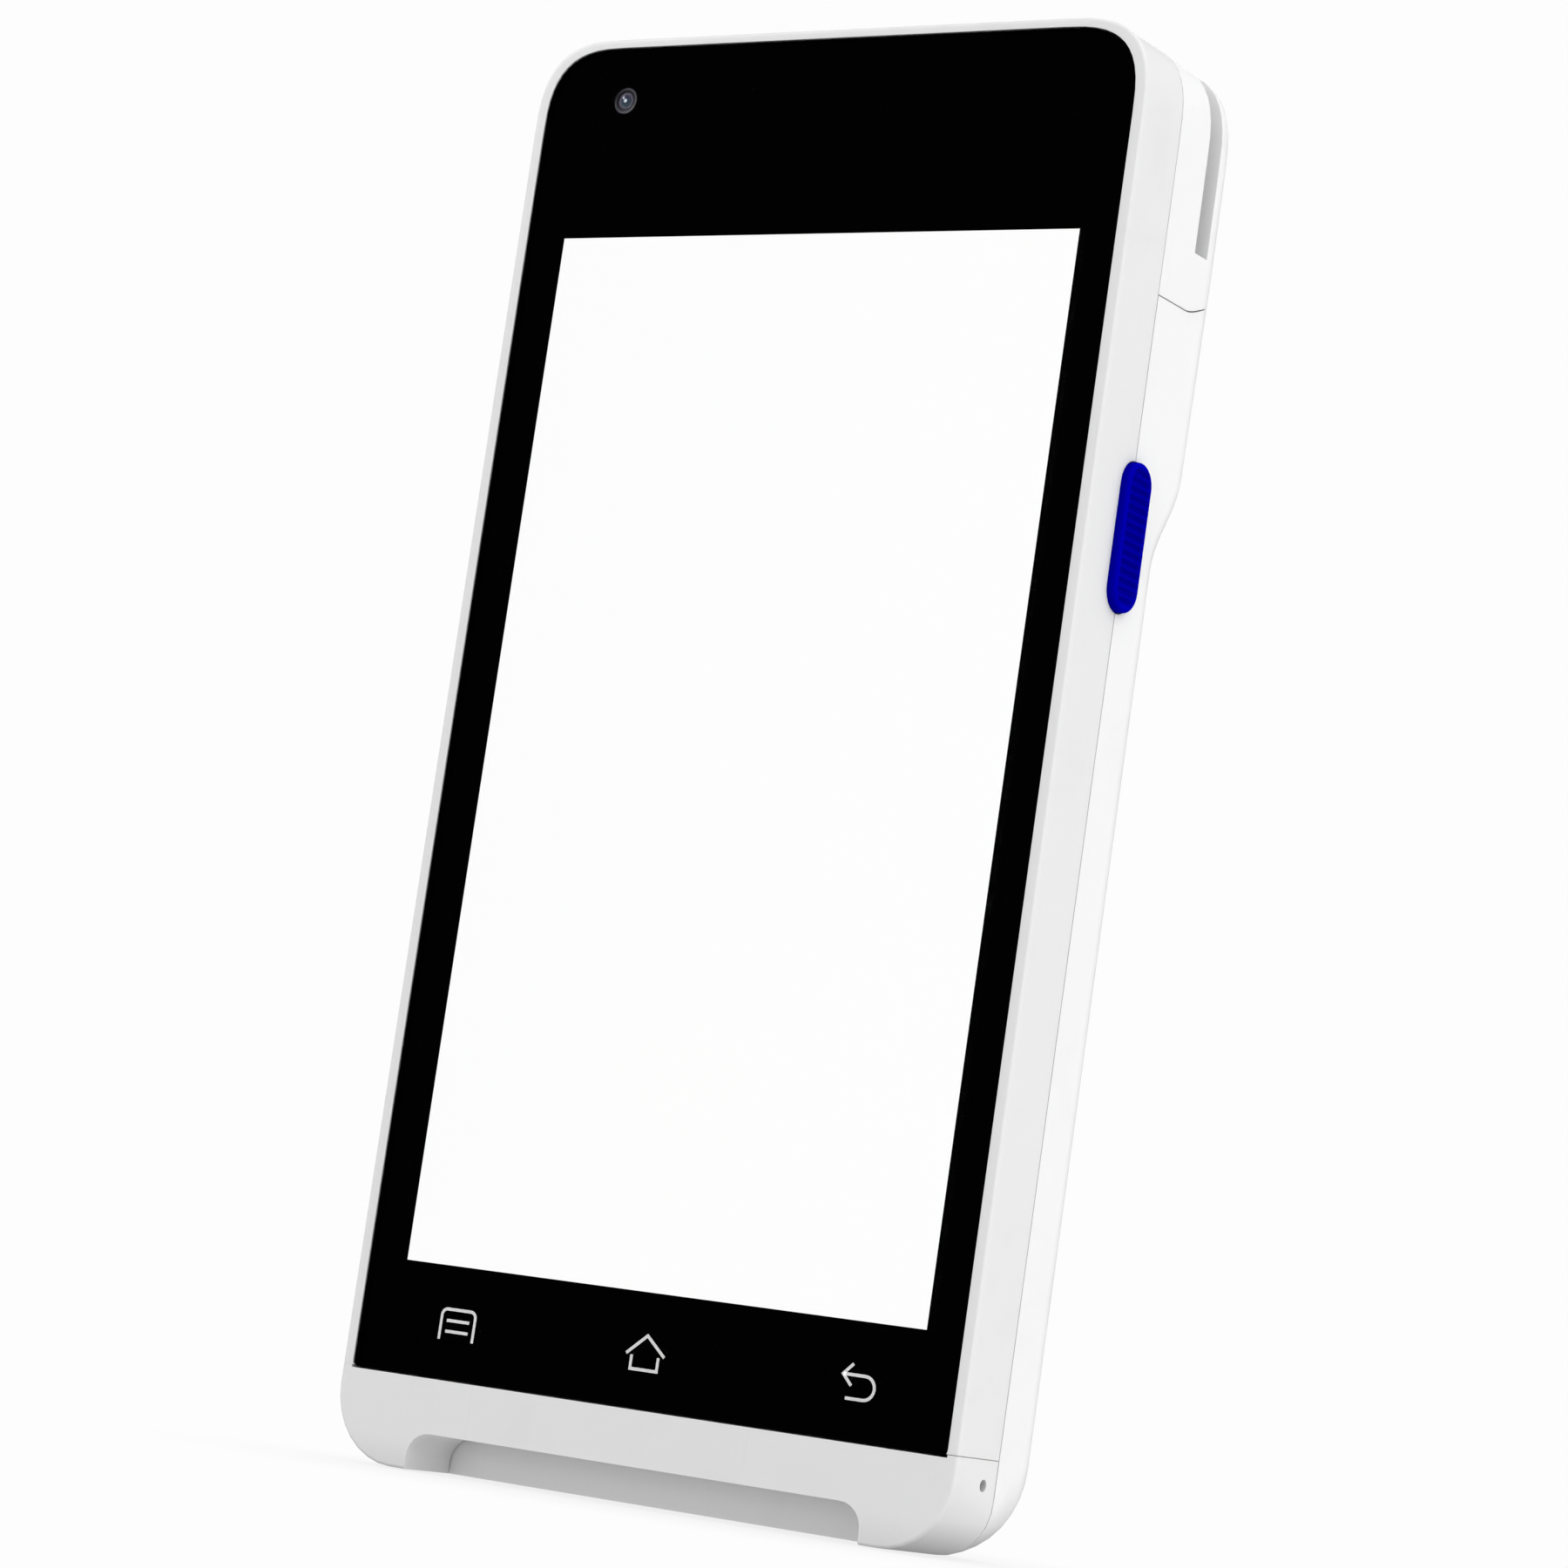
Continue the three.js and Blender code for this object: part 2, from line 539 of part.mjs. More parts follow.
// Reader housing: the top of the back, cut through from side to side by the swipe slot.
function readerHousing() {
  const front = SEAM_Y + HALF_SEAM;
  const foot = SPLIT.z - 1;
  const levels = [foot, HUMP_LEAN.head, ...TOP_LEVELS];
  const slotFrontWall = SLOT.front - SLOT_WALL;
  const headroom = cut(
    plate(shapeOf(outline(11, WALL)), [SEAM_Y - 1, slotFrontWall]),
    block([-FAR, FAR], [0, DEPTH], [-1, foot - 1]),
  );
  const screws = both.map((side) => ({ x: side * READER_SCREW.x, z: READER_SCREW.z }));
  const columns = screws.map((at) => rod("y", READER_SCREW.column, [front, slotFrontWall + JOINED], at));
  const pilots = screws.map((at) => rod("y", SHANK_HOLE, [front - 1, READER_SCREW.tip + 0.4], at));
  return cut(
    join(
      cut(
        loft(levels.map((z) => slice(z, front)), seenFromAbove),
        headroom,
        block([-36, 36], [slotFrontWall - JOINED, DEPTH - BACK_WALL], [foot - 1, SLOT.floor - SLOT_WALL]),
        seamRebate(),
      ),
      ...columns,
    ),
    besideSplit(HALF_SEAM, foot - 2),
    block([-FAR, FAR], [SLOT.front, SLOT.back], [SLOT.floor, HEIGHT + 1]),
    block(
      [-HEAD.halfWidth - HEAD_CLEARANCE, HEAD.halfWidth + HEAD_CLEARANCE],
      [slotFrontWall - 1, SLOT.front + JOINED],
      [HEAD.foot - HEAD_CLEARANCE, HEAD.top + HEAD_CLEARANCE],
    ),
    ...pilots,
  );
}

place("front_frame", frontFrame(), white());
place("lower_front_cap", chin(), white());
place("rear_cover", rearCover(), white());
place("reader_housing", readerHousing(), white());

// Screen: cover glass, liquid crystal panel, backlight and the contactless antenna round them.
place("cover_glass", plate(glassOutline(), [GLASS.front, GLASS.back]), material(0x050505, 0.05));
place(
  "display_panel",
  block([-PANEL.halfWidth, PANEL.halfWidth], [PANEL.front, PANEL.back], [PANEL.foot, PANEL.top]),
  material(0xfdfdfd, 0.2),
);
place(
  "backlight_unit",
  plate(
    roundedRectangle([-PANEL.halfWidth, PANEL.halfWidth], [PANEL.foot - 2, PANEL.top], 1),
    [PANEL.back + 0.1, BACKLIGHT_BACK],
  ),
  material(0xc8ccd0, 0.35, 0.6),
);
const antennaLoop = (inset) =>
  roundedRectangle(
    [-ANTENNA.halfWidth + inset, ANTENNA.halfWidth - inset],
    [ANTENNA.foot + inset, ANTENNA.top - inset],
    ANTENNA.radius - inset,
  );
place(
  "contactless_antenna",
  cut(
    plate(antennaLoop(0), [ANTENNA.front, ANTENNA.back]),
    plate(antennaLoop(ANTENNA.band), [ANTENNA.front - 1, ANTENNA.back + 1]),
  ),
  material(0xb87333, 0.4, 0.8),
);

// Midframe: the metal plate behind the screen, with a boss for each housing screw.
function midframe() {
  const depth = [MIDFRAME.front, MIDFRAME.back];
  const shape = roundedRectangle(
    [-MIDFRAME.halfWidth, MIDFRAME.halfWidth],
    [MIDFRAME.foot, MIDFRAME.top],
    4,
  );
  const bosses = [];
  const bores = [];
  for (const side of both) {
    for (const z of HOUSING_SCREW.z) {
      const at = { x: side * HOUSING_SCREW.x, z };
      bosses.push(rod("y", 4.2, [MIDFRAME.back - JOINED, SEAM_Y - 0.3], at));
      bores.push(rod("y", SHANK_HOLE, [MIDFRAME.front - 1, SEAM_Y + 1], at));
    }
    const readerScrew = { x: side * READER_SCREW.x, z: READER_SCREW.z };
    bores.push(rod("y", SHANK_HOLE, [MIDFRAME.front - 1, MIDFRAME.back + 1], readerScrew));
  }
  const windows = [
    plate(roundedRectangle([-20, 20], [24, 50], 3), [3, 6]),
    plate(roundedRectangle([-24, 24], [72, 96], 3), [3, 6]),
  ];
  return cut(join(plate(shape, depth), ...bosses), ...bores, ...windows);
}
place("midframe", midframe(), material(0x9aa0a6, 0.4, 0.9));

// Main board, with a tongue that carries the scan switch, and what is soldered to it.
function mainBoard() {
  const depth = [BOARD.front, BOARD.back];
  const outlineShape = roundedRectangle([-BOARD.halfWidth, BOARD.halfWidth], [BOARD.foot, BOARD.top], 2);
  const { right, foot, top, overlap } = BOARD_TONGUE;
  const tongue = block([BOARD.halfWidth - overlap, right], depth, [foot, top]);
  const holes = BOARD_SCREW.z.flatMap((z) =>
    both.map((side) => rod("y", SHANK_HOLE, [depth[0] - 1, depth[1] + 1], { x: side * BOARD_SCREW.x, z })),
  );
  return cut(join(plate(outlineShape, depth), tongue), ...holes);
}
place("main_board", mainBoard(), material(0x1f5a35, 0.5));

// A shallow metal can open towards the board.
function shieldCan([x0, x1], [z0, z1], height) {
  const skin = SHIELD_SKIN;
  return cut(
    block([x0, x1], [ON_BOARD, ON_BOARD + height], [z0, z1]),
    block([x0 + skin, x1 - skin], [ON_BOARD - 1, ON_BOARD + height - skin], [z0 + skin, z1 - skin]),
  );
}
const steel = () => material(0xb9bdc1, 0.35, 0.9);
place("processor_shield", shieldCan([-23, 5], [102, 131], 1.7), steel());
place("radio_shield", shieldCan([9, 27], [104, 128], 1.5), steel());
place("sim_socket", shieldCan([-8, 8], [74, 90], 1.4), steel());
place(
  "coin_cell",
  rod("y", COIN_CELL.diameter, [ON_BOARD, ON_BOARD + COIN_CELL.thickness], COIN_CELL, EYE_STEPS),
  steel(),
);
place(
  "scan_switch",
  join(
    block(
      [SCAN_SWITCH.left, SCAN_SWITCH.right],
      [ON_BOARD, SCAN_SWITCH.back],
      [SCAN_SWITCH.foot, SCAN_SWITCH.top],
    ),
    rod("x", SCAN_SWITCH.plunger, [SCAN_SWITCH.right - 2 * JOINED, SCAN_SWITCH.tip], SCAN_KEY, 12),
  ),
  material(0x333333, 0.5),
);

// Chip card reader: a body with the card's channel, its steel cover, and the block of contacts.
function chipReader() {
  const { halfWidth, foot, top, front, back, channelTop } = CHIP_READER;
  const { halfWidth: windowHalf, front: windowFront } = CONTACT_WINDOW;
  const channelHalf = CARD_SLIT.halfWidth - CARD_CHANNEL.clearance;
  return cut(
    block([-halfWidth, halfWidth], [front, back], [foot, top]),
    block([-channelHalf, channelHalf], CARD_CHANNEL.depth, [foot - 1, channelTop]),
    block([-windowHalf, windowHalf], [windowFront, back + 1], [CONTACT_WINDOW.foot, CONTACT_WINDOW.top]),
  );
}
place("chip_reader_body", chipReader(), material(0x202224, 0.5));
place(
  "chip_reader_cover",
  block(
    [-READER_COVER.halfWidth, READER_COVER.halfWidth],
    READER_COVER.depth,
    [CHIP_READER.foot + READER_COVER.margin, CHIP_READER.top - READER_COVER.margin],
  ),
  steel(),
);
function contactBlock() {
  const blades = [];
  for (const row of both)
    for (let i = 0; i < CONTACTS.perRow; i++) {
      const length = around(CONTACTS.middle + row * CONTACTS.row, CONTACTS.halfLength);
      const x = (i - (CONTACTS.perRow - 1) / 2) * CONTACTS.pitch;
      blades.push(rod("z", CONTACTS.diameter, length, { x, y: CONTACTS.y }, 10));
    }
  const { halfWidth, foot, top, clearance } = CONTACT_WINDOW;
  const height = [foot + clearance, top - clearance];
  return join(block(around(0, halfWidth - clearance), CONTACTS.depth, height), ...blades);
}
place("contact_block", contactBlock(), material(0xd4af37, 0.35, 0.9));

// Battery, its contacts and the door that closes its bay.
place(
  "battery_pack",
  plate(
    roundedRectangle(
      [-BAY.halfWidth + BATTERY_CLEARANCE, BAY.halfWidth - BATTERY_CLEARANCE],
      [BAY.foot + BATTERY_CLEARANCE, BATTERY_TOP],
      1.5,
    ),
    [BAY.floor + BATTERY_SEAT, BATTERY_BACK],
  ),
  material(0x2b2d30, 0.6),
);
place(
  "battery_contact_block",
  join(
    block(
      around(0, BATTERY_CONTACTS.halfWidth),
      [BAY.floor + BATTERY_SEAT, BATTERY_CONTACTS.back],
      [BATTERY_CONTACTS.foot, BAY.top - BATTERY_SEAT],
    ),
    ...BATTERY_CONTACTS.at.map((x) =>
      block(around(x, BATTERY_CONTACTS.halfBlade), BATTERY_CONTACTS.bladeDepth, BATTERY_CONTACTS.bladeHeight),
    ),
  ),
  material(0xd4af37, 0.4, 0.8),
);
function batteryDoor() {
  const scoop = new THREE.SphereGeometry(DOOR_SCOOP.radius, 48, 24)
    .translate(0, LOWER_DEPTH + DOOR_SCOOP.radius - DOOR_SCOOP.depth, DOOR_SCOOP.z);
  const shape = roundedRectangle([-DOOR.halfWidth, DOOR.halfWidth], [DOOR.foot, DOOR.top], DOOR.radius);
  return cut(plate(shape, [DOOR.front, LOWER_DEPTH]), solid(scoop));
}
place("battery_door", batteryDoor(), white());

// Magnetic head: a block with a crowned face that looks into the slot, on a flat spring.
function magneticHead() {
  const shape = new THREE.Shape();
  shape.moveTo(-HEAD.halfWidth, HEAD.front);
  shape.lineTo(HEAD.halfWidth, HEAD.front);
  shape.lineTo(HEAD.halfWidth, HEAD.shoulder);
  shape.quadraticCurveTo(0, 2 * HEAD.crown - HEAD.shoulder, -HEAD.halfWidth, HEAD.shoulder);
  const options = { depth: HEAD.top - HEAD.foot, bevelEnabled: false, curveSegments: 12 };
  return solid(new THREE.ExtrudeGeometry(shape, options).translate(0, 0, HEAD.foot));
}
place("magnetic_head", magneticHead(), material(0x8f9498, 0.3, 0.9));
const springShape = roundedRectangle(
  around(0, HEAD_SPRING.halfWidth),
  [HEAD_SPRING.foot, HEAD_SPRING.top],
  HEAD_SPRING.radius,
);
place("head_spring", plate(springShape, HEAD_SPRING.depth), steel());

// Keys. Each has a crown outside, a stem through the wall, and a flange that keeps it in.
function sideKey(key, side) {
  const outer = Math.abs(key.crown);
  const onSide = (...ends) => ends.map((x) => side * x).sort((a, b) => a - b);
  const stem = onSide(KEY_FLANGE.outer - JOINED, outer - KEY_EDGE.height);
  const edge = onSide(outer - KEY_EDGE.height - KEY_EDGE.overlap, outer);
  const flange = onSide(KEY_FLANGE.inner, KEY_FLANGE.outer);
  const over = 2 * KEY_FLANGE.overhang;
  return join(
    sidePlate(stadium(key.y, key.z, key.width, key.length), stem),
    sidePlate(stadium(key.y, key.z, key.width - KEY_EDGE.inset, key.length - KEY_EDGE.inset), edge),
    sidePlate(stadium(key.y, key.z, key.width + over, key.length + over), flange),
  );
}

// The scan key's crown is cut by grooves that run from front to back.
function scanKey() {
  const pitch = SCAN_KEY.length / (SCAN_KEY.ribs + 0.4);
  const grooves = [];
  for (let i = 0; i < SCAN_KEY.ribs - 1; i++) {
    const z = SCAN_KEY.z + (i - (SCAN_KEY.ribs - 2) / 2) * pitch;
    const floor = SCAN_KEY.crown - SCAN_KEY.ribHeight / 2;
    grooves.push(block([floor, floor + 1], around(SCAN_KEY.y, SCAN_KEY.width), around(z, pitch / 4)));
  }
  return cut(sideKey(SCAN_KEY, 1), ...grooves);
}
place("scan_key", scanKey(), material(0x0a0a96, 0.4));
place("power_key", sideKey(POWER_KEY, -1), white());
place("volume_rocker", sideKey(VOLUME_ROCKER, -1), white());
place(
  "side_key_board",
  join(
    block([SIDE_SWITCHES.outer, SIDE_SWITCHES.inner], SIDE_SWITCHES.depth, SIDE_SWITCHES.height),
    ...SIDE_SWITCHES.at.map((z) =>
      rod(
        "x",
        SIDE_SWITCHES.dome,
        [SIDE_SWITCHES.domeTop, SIDE_SWITCHES.outer + JOINED],
        { y: POWER_KEY.y, z },
        12,
      ),
    ),
  ),
  material(0x2a2a2a, 0.5),
);

// Socket, cameras, speaker, microphone.
function usbSocket() {
  const ring = (inset) => {
    const [x, y] = [USB.halfWidth - inset, USB.halfDepth - inset];
    return roundedRectangle([-x, x], [-y, y], y - USB_FLAT);
  };
  const options = { depth: USB.top - USB.foot, bevelEnabled: false, curveSegments: ARC_STEPS };
  const outer = solid(new THREE.ExtrudeGeometry(ring(0), options));
  const inner = solid(new THREE.ExtrudeGeometry(ring(USB.skin), options)).translate([0, 0, USB.back]);
  const tongue = block(around(0, USB.tongue), around(0, USB.tongueDepth), USB.tongueHeight);
  return join(cut(outer, inner), tongue).translate([0, USB.y, USB.foot]);
}
place("usb_socket", usbSocket(), steel());

// A round eye along y, centred on a camera or a window.
const eye = (diameter, depth, centre) => rod("y", diameter, depth, centre, EYE_STEPS);
place(
  "front_camera",
  join(
    eye(FRONT_CAMERA.barrel, [FRONT_CAMERA.front, FRONT_CAMERA.shoulder + JOINED], FRONT_CAMERA),
    eye(FRONT_CAMERA.body, [FRONT_CAMERA.shoulder, FRONT_CAMERA.back], FRONT_CAMERA),
  ),
  material(0x111114, 0.3),
);
place(
  "front_camera_lens",
  eye(FRONT_CAMERA.lens, FRONT_CAMERA.lensDepth, FRONT_CAMERA),
  material(0x1a1a30, 0.05),
);
const cameraSides = [REAR_CAMERA.x, REAR_CAMERA.z].map((middle) => around(middle, REAR_CAMERA.halfBody));
place(
  "rear_camera",
  join(
    block(cameraSides[0], [REAR_CAMERA.front, REAR_CAMERA.shoulder], cameraSides[1]),
    eye(REAR_CAMERA.barrel, [REAR_CAMERA.shoulder - JOINED, REAR_CAMERA.back], REAR_CAMERA),
  ),
  material(0x111114, 0.3),
);
for (const [name, eyeHole] of [["rear_camera_window", REAR_CAMERA], ["flash_window", FLASH]])
  place(
    name,
    eye(eyeHole.hole - 2 * KEY_GAP, [WINDOW.front, WINDOW.back], eyeHole),
    material(0x0a0a0c, 0.08),
  );
place("flash_lamp", block(around(FLASH.x, FLASH.lamp), FLASH.depth, around(FLASH.z, FLASH.lamp)), white());
const speakerOutline = () =>
  roundedRectangle(around(SPEAKER.x, SPEAKER.halfWidth), around(SPEAKER.z, SPEAKER.halfHeight), 2);
place("speaker", plate(speakerOutline(), SPEAKER.depth), material(0x1b1b1d, 0.6));
place("speaker_mesh", plate(speakerOutline(), SPEAKER.meshDepth), material(0x3a3a3c, 0.7));
place(
  "microphone",
  block(MICROPHONE.across, MICROPHONE.depth, around(SIDE_HOLE.z, MICROPHONE.half)),
  steel(),
);

// Vibration motor and the half-round weight on its shaft.
const MOTOR = {
  ...{ y: 7.1, z: 61.4, diameter: 3.4, shaft: 0.7, from: 8, to: 17.6, shaftEnd: 21.4 },
  ...{ weightBore: 0.9, weightTop: 0.75, weightGap: 0.3 },
};
place(
  "vibration_motor",
  join(
    rod("x", MOTOR.diameter, [MOTOR.from, MOTOR.to], MOTOR, 16),
    rod("x", MOTOR.shaft, [MOTOR.to - JOINED, MOTOR.shaftEnd], MOTOR, 10),
  ),
  steel(),
);
place(
  "eccentric_weight",
  cut(
    rod("x", MOTOR.diameter, [MOTOR.to + MOTOR.weightGap, MOTOR.shaftEnd - MOTOR.weightGap], MOTOR, 20),
    block(
      [MOTOR.to - 1, MOTOR.shaftEnd + 1],
      around(MOTOR.y, MOTOR.diameter),
      [MOTOR.z + MOTOR.weightTop, MOTOR.z + MOTOR.diameter],
    ),
    rod("x", MOTOR.weightBore, [MOTOR.to - 1, MOTOR.shaftEnd + 1], MOTOR, 10),
  ),
  material(0x77797c, 0.4, 0.9),
);

// Screws. Each is a pan head with a cross drive and a plain shank, pointing towards the front (-y).
function screw(length) {
  const { head, headHeight, headSide, headCrown, shank, driveDepth, driveRadius, driveBar: bar } = SCREW;
  const profile = [
    [0, 0],
    [shank / 2, 0],
    [shank / 2, length],
    [head / 2, length],
    [head / 2, length + headHeight * headSide],
    [head / 2 - headCrown, length + headHeight],
    [0, length + headHeight],
  ].map(([r, y]) => new THREE.Vector2(r, y));
  const top = [length + headHeight - driveDepth, length + headHeight + 1];
  return cut(
    solid(new THREE.LatheGeometry(profile, 12)),
    block([-driveRadius, driveRadius], top, [-bar, bar]),
    block([-bar, bar], top, [-driveRadius, driveRadius]),
  );
}
const screwSteel = () => material(0xa8abaf, 0.3, 1);
const housingScrew = toGeometry(screw(HOUSING_SCREW.seat - HOUSING_SCREW.tip));
const boardScrew = toGeometry(screw(BOARD_SCREW.length));
const readerScrew = toGeometry(screw(READER_SCREW.tip - READER_SCREW.seat)).rotateX(2 * QUARTER);
let number = 0;
for (const side of both)
  for (const z of HOUSING_SCREW.z)
    place(`housing_screw_${++number}`, housingScrew, screwSteel(), [
      side * HOUSING_SCREW.x,
      HOUSING_SCREW.tip,
      z,
    ]);
both.forEach((side, i) =>
  place(`reader_screw_${i + 1}`, readerScrew, screwSteel(), [
    side * READER_SCREW.x,
    READER_SCREW.tip,
    READER_SCREW.z,
  ]),
);
number = 0;
for (const side of both)
  for (const z of BOARD_SCREW.z)
    place(`board_screw_${++number}`, boardScrew, screwSteel(), [
      side * BOARD_SCREW.x,
      ON_BOARD - BOARD_SCREW.length + BOARD_SCREW.seat,
      z,
    ]);

export default terminal;
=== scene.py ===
"""A handheld card payment terminal in white plastic, in a plain white studio.

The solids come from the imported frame. This script gives them all a finish, rounds the edges of the shell,
the glass and the side keys, and adds the prints and the camera eyes. Lengths are in metres unless marked.
x runs across, y runs back, z runs up.
"""

import json
import math

import bmesh
import bpy
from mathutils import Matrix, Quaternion, Vector

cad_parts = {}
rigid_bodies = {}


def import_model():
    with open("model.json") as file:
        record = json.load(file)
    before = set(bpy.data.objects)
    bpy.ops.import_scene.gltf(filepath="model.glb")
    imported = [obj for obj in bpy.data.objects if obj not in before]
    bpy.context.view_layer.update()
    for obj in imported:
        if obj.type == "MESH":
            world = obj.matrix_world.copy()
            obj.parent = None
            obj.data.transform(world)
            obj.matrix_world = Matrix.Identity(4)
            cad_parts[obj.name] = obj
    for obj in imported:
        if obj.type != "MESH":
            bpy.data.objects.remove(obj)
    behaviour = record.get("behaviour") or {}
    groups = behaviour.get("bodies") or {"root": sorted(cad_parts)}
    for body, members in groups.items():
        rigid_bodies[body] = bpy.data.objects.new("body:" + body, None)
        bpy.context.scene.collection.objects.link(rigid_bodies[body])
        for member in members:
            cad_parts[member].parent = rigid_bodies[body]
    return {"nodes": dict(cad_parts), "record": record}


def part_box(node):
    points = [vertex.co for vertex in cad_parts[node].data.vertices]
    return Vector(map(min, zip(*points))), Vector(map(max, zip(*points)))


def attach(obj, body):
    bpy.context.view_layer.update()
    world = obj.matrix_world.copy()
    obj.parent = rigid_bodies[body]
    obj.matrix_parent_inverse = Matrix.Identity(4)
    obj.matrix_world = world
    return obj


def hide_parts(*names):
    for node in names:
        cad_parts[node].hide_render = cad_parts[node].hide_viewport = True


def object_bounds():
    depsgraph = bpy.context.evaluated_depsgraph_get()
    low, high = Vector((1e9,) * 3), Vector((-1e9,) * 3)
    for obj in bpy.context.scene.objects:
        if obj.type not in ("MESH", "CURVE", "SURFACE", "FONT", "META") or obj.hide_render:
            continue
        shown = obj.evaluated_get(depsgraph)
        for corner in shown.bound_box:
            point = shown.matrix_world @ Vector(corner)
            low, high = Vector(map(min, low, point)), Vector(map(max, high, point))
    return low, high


for leftover in list(bpy.data.objects):
    bpy.data.objects.remove(leftover)
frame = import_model()
CAD_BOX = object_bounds()

MM = 0.001
scene = bpy.context.scene
NODES = frame["nodes"]
SLOT_OF = {name: node.data.materials[0].name for name, node in NODES.items()}
BODY_OF = {node: body for body, nodes in frame["record"]["behaviour"]["bodies"].items() for node in nodes}

# Screen print, behind the cover glass (millimetres)
LIT_WINDOW = {"left": -34.2, "right": 34.15, "foot": 22.9, "top": 141.3}
PRINT_GAP = 0.02
PRINT_THICKNESS = 0.03
PRINT_MARGIN = 0.01
CAMERA_APERTURE = 3.24
EYE_SHIFT = (-0.5, 0, 0.29)
FRONT_EYE_DEPTH = 0.14
REAR_EYE = {"print_inside": 3.3, "print_outside": 4.5, "depth": 0.26, "radius": 3.1}
SYMBOL_Z = 16.4
SYMBOL_STROKE = 0.34
SYMBOL_GAP = 0.004
SYMBOL_THICKNESS = 0.012
SYMBOLS_AT = {"menu": -25.9, "home": -0.4, "back": 26.8}
LIT_STRENGTH = 1.06

# Side keys (millimetres)
KEY_OVERHANG = 0.6
KEY_FLANGE = 0.8
CROWN_ROUNDING = 0.45
SCAN_KEY_RIBS = 16
RIB_DEPTH = 0.55
RIB_BORDER = 0.45
RIB_FADE = 0.3
RIB_SPARE = 0.4
END_STEPS = 24
CROWN_STEPS = 8
FLAT_STEPS = 16

# Edges and seams (millimetres)
SHELL_EDGE = 0.07
GLASS_EDGE = 0.12
SHARP = math.radians(32)
FLAT = math.radians(0.4)
MERGE = 1e-7
CHIN_SEAM = {"frame": 10.62, "cap": 10.48, "drawn_in": 0.045}
SEAM_TOLERANCE = 0.005

# Plastic (millimetres, and tones of its own colour; the recess tone is painted shade)
RECESS_REACH = 4.0
RECESS_PAINTED_SHADE_TONE = 0.72
SMEAR_TONE = 0.98
SCRATCH_TONE = 0.97
LIGHT_REACH = 0.6


# ---- Node helpers ----


def add(tree, kind, inputs=None, **settings):
    """A node in a tree, with settings on itself and values or links on its input sockets."""
    made = tree.nodes.new(kind)
    for name, value in settings.items():
        setattr(made, name, value)
    for name, value in (inputs or {}).items():
        socket = made.inputs[name]
        if isinstance(value, bpy.types.NodeSocket):
            tree.links.new(value, socket)
        else:
            socket.default_value = value
    return made


def new_group(name, inputs, outputs):
    """A shader node group: inputs is {name: default}, outputs is {name: socket kind}."""
    tree = bpy.data.node_groups.new(name, "ShaderNodeTree")
    for label, default in inputs.items():
        kind = "NodeSocketFloat"
        if isinstance(default, tuple):
            kind = "NodeSocketColor" if len(default) == 4 else "NodeSocketVector"
        socket = tree.interface.new_socket(label, in_out="INPUT", socket_type=kind)
        socket.default_value = default
    for label, kind in outputs.items():
        tree.interface.new_socket(label, in_out="OUTPUT", socket_type=kind)
    return tree, tree.nodes.new("NodeGroupInput"), tree.nodes.new("NodeGroupOutput")


def place_in_mm(tree):
    """Where a point is in the part, in millimetres."""
    spot = add(tree, "ShaderNodeTexCoord")
    return add(
        tree, "ShaderNodeVectorMath", {0: spot.outputs["Object"], 1: (1000,) * 3}, operation="MULTIPLY"
    ).outputs[0]


def math_node(tree, operation, a, b=0.0, clamp=False):
    return add(tree, "ShaderNodeMath", {0: a, 1: b}, operation=operation, use_clamp=clamp).outputs[0]


def blend_colours(tree, share, a, b):
    return add(tree, "ShaderNodeMix", {0: share, 6: a, 7: b}, data_type="RGBA").outputs[2]


def toned(colour, tone=1.0):
    """A colour made darker by a tone, with full cover."""
    return (*(tone * channel for channel in colour), 1.0)


# ---- Effects that several finishes share ----


def moulded_grain():
    """Fine even grain of a spark-eroded mould, with a broad, faint unevenness in gloss."""
    tree, given, out = new_group(
        "moulded_grain",
        {"Grain size": 0.12, "Uneven size": 14.0},
        {"Height": "NodeSocketFloat", "Gloss change": "NodeSocketFloat"},
    )
    spot = place_in_mm(tree)
    fine = math_node(tree, "DIVIDE", 1.0, given.outputs["Grain size"])
    broad = math_node(tree, "DIVIDE", 1.0, given.outputs["Uneven size"])
    grain = add(tree, "ShaderNodeTexNoise", {"Vector": spot, "Scale": fine, "Detail": 3.0, "Roughness": 0.6})
    pits = add(tree, "ShaderNodeTexVoronoi", {"Vector": spot, "Scale": fine}, feature="SMOOTH_F1")
    height = blend_colours(tree, 0.4, grain.outputs[0], pits.outputs["Distance"])
    cloud = add(tree, "ShaderNodeTexNoise", {"Vector": spot, "Scale": broad, "Detail": 4.0})
    tree.links.new(height, out.inputs["Height"])
    tree.links.new(math_node(tree, "SUBTRACT", cloud.outputs[0], 0.5), out.inputs["Gloss change"])
    return tree


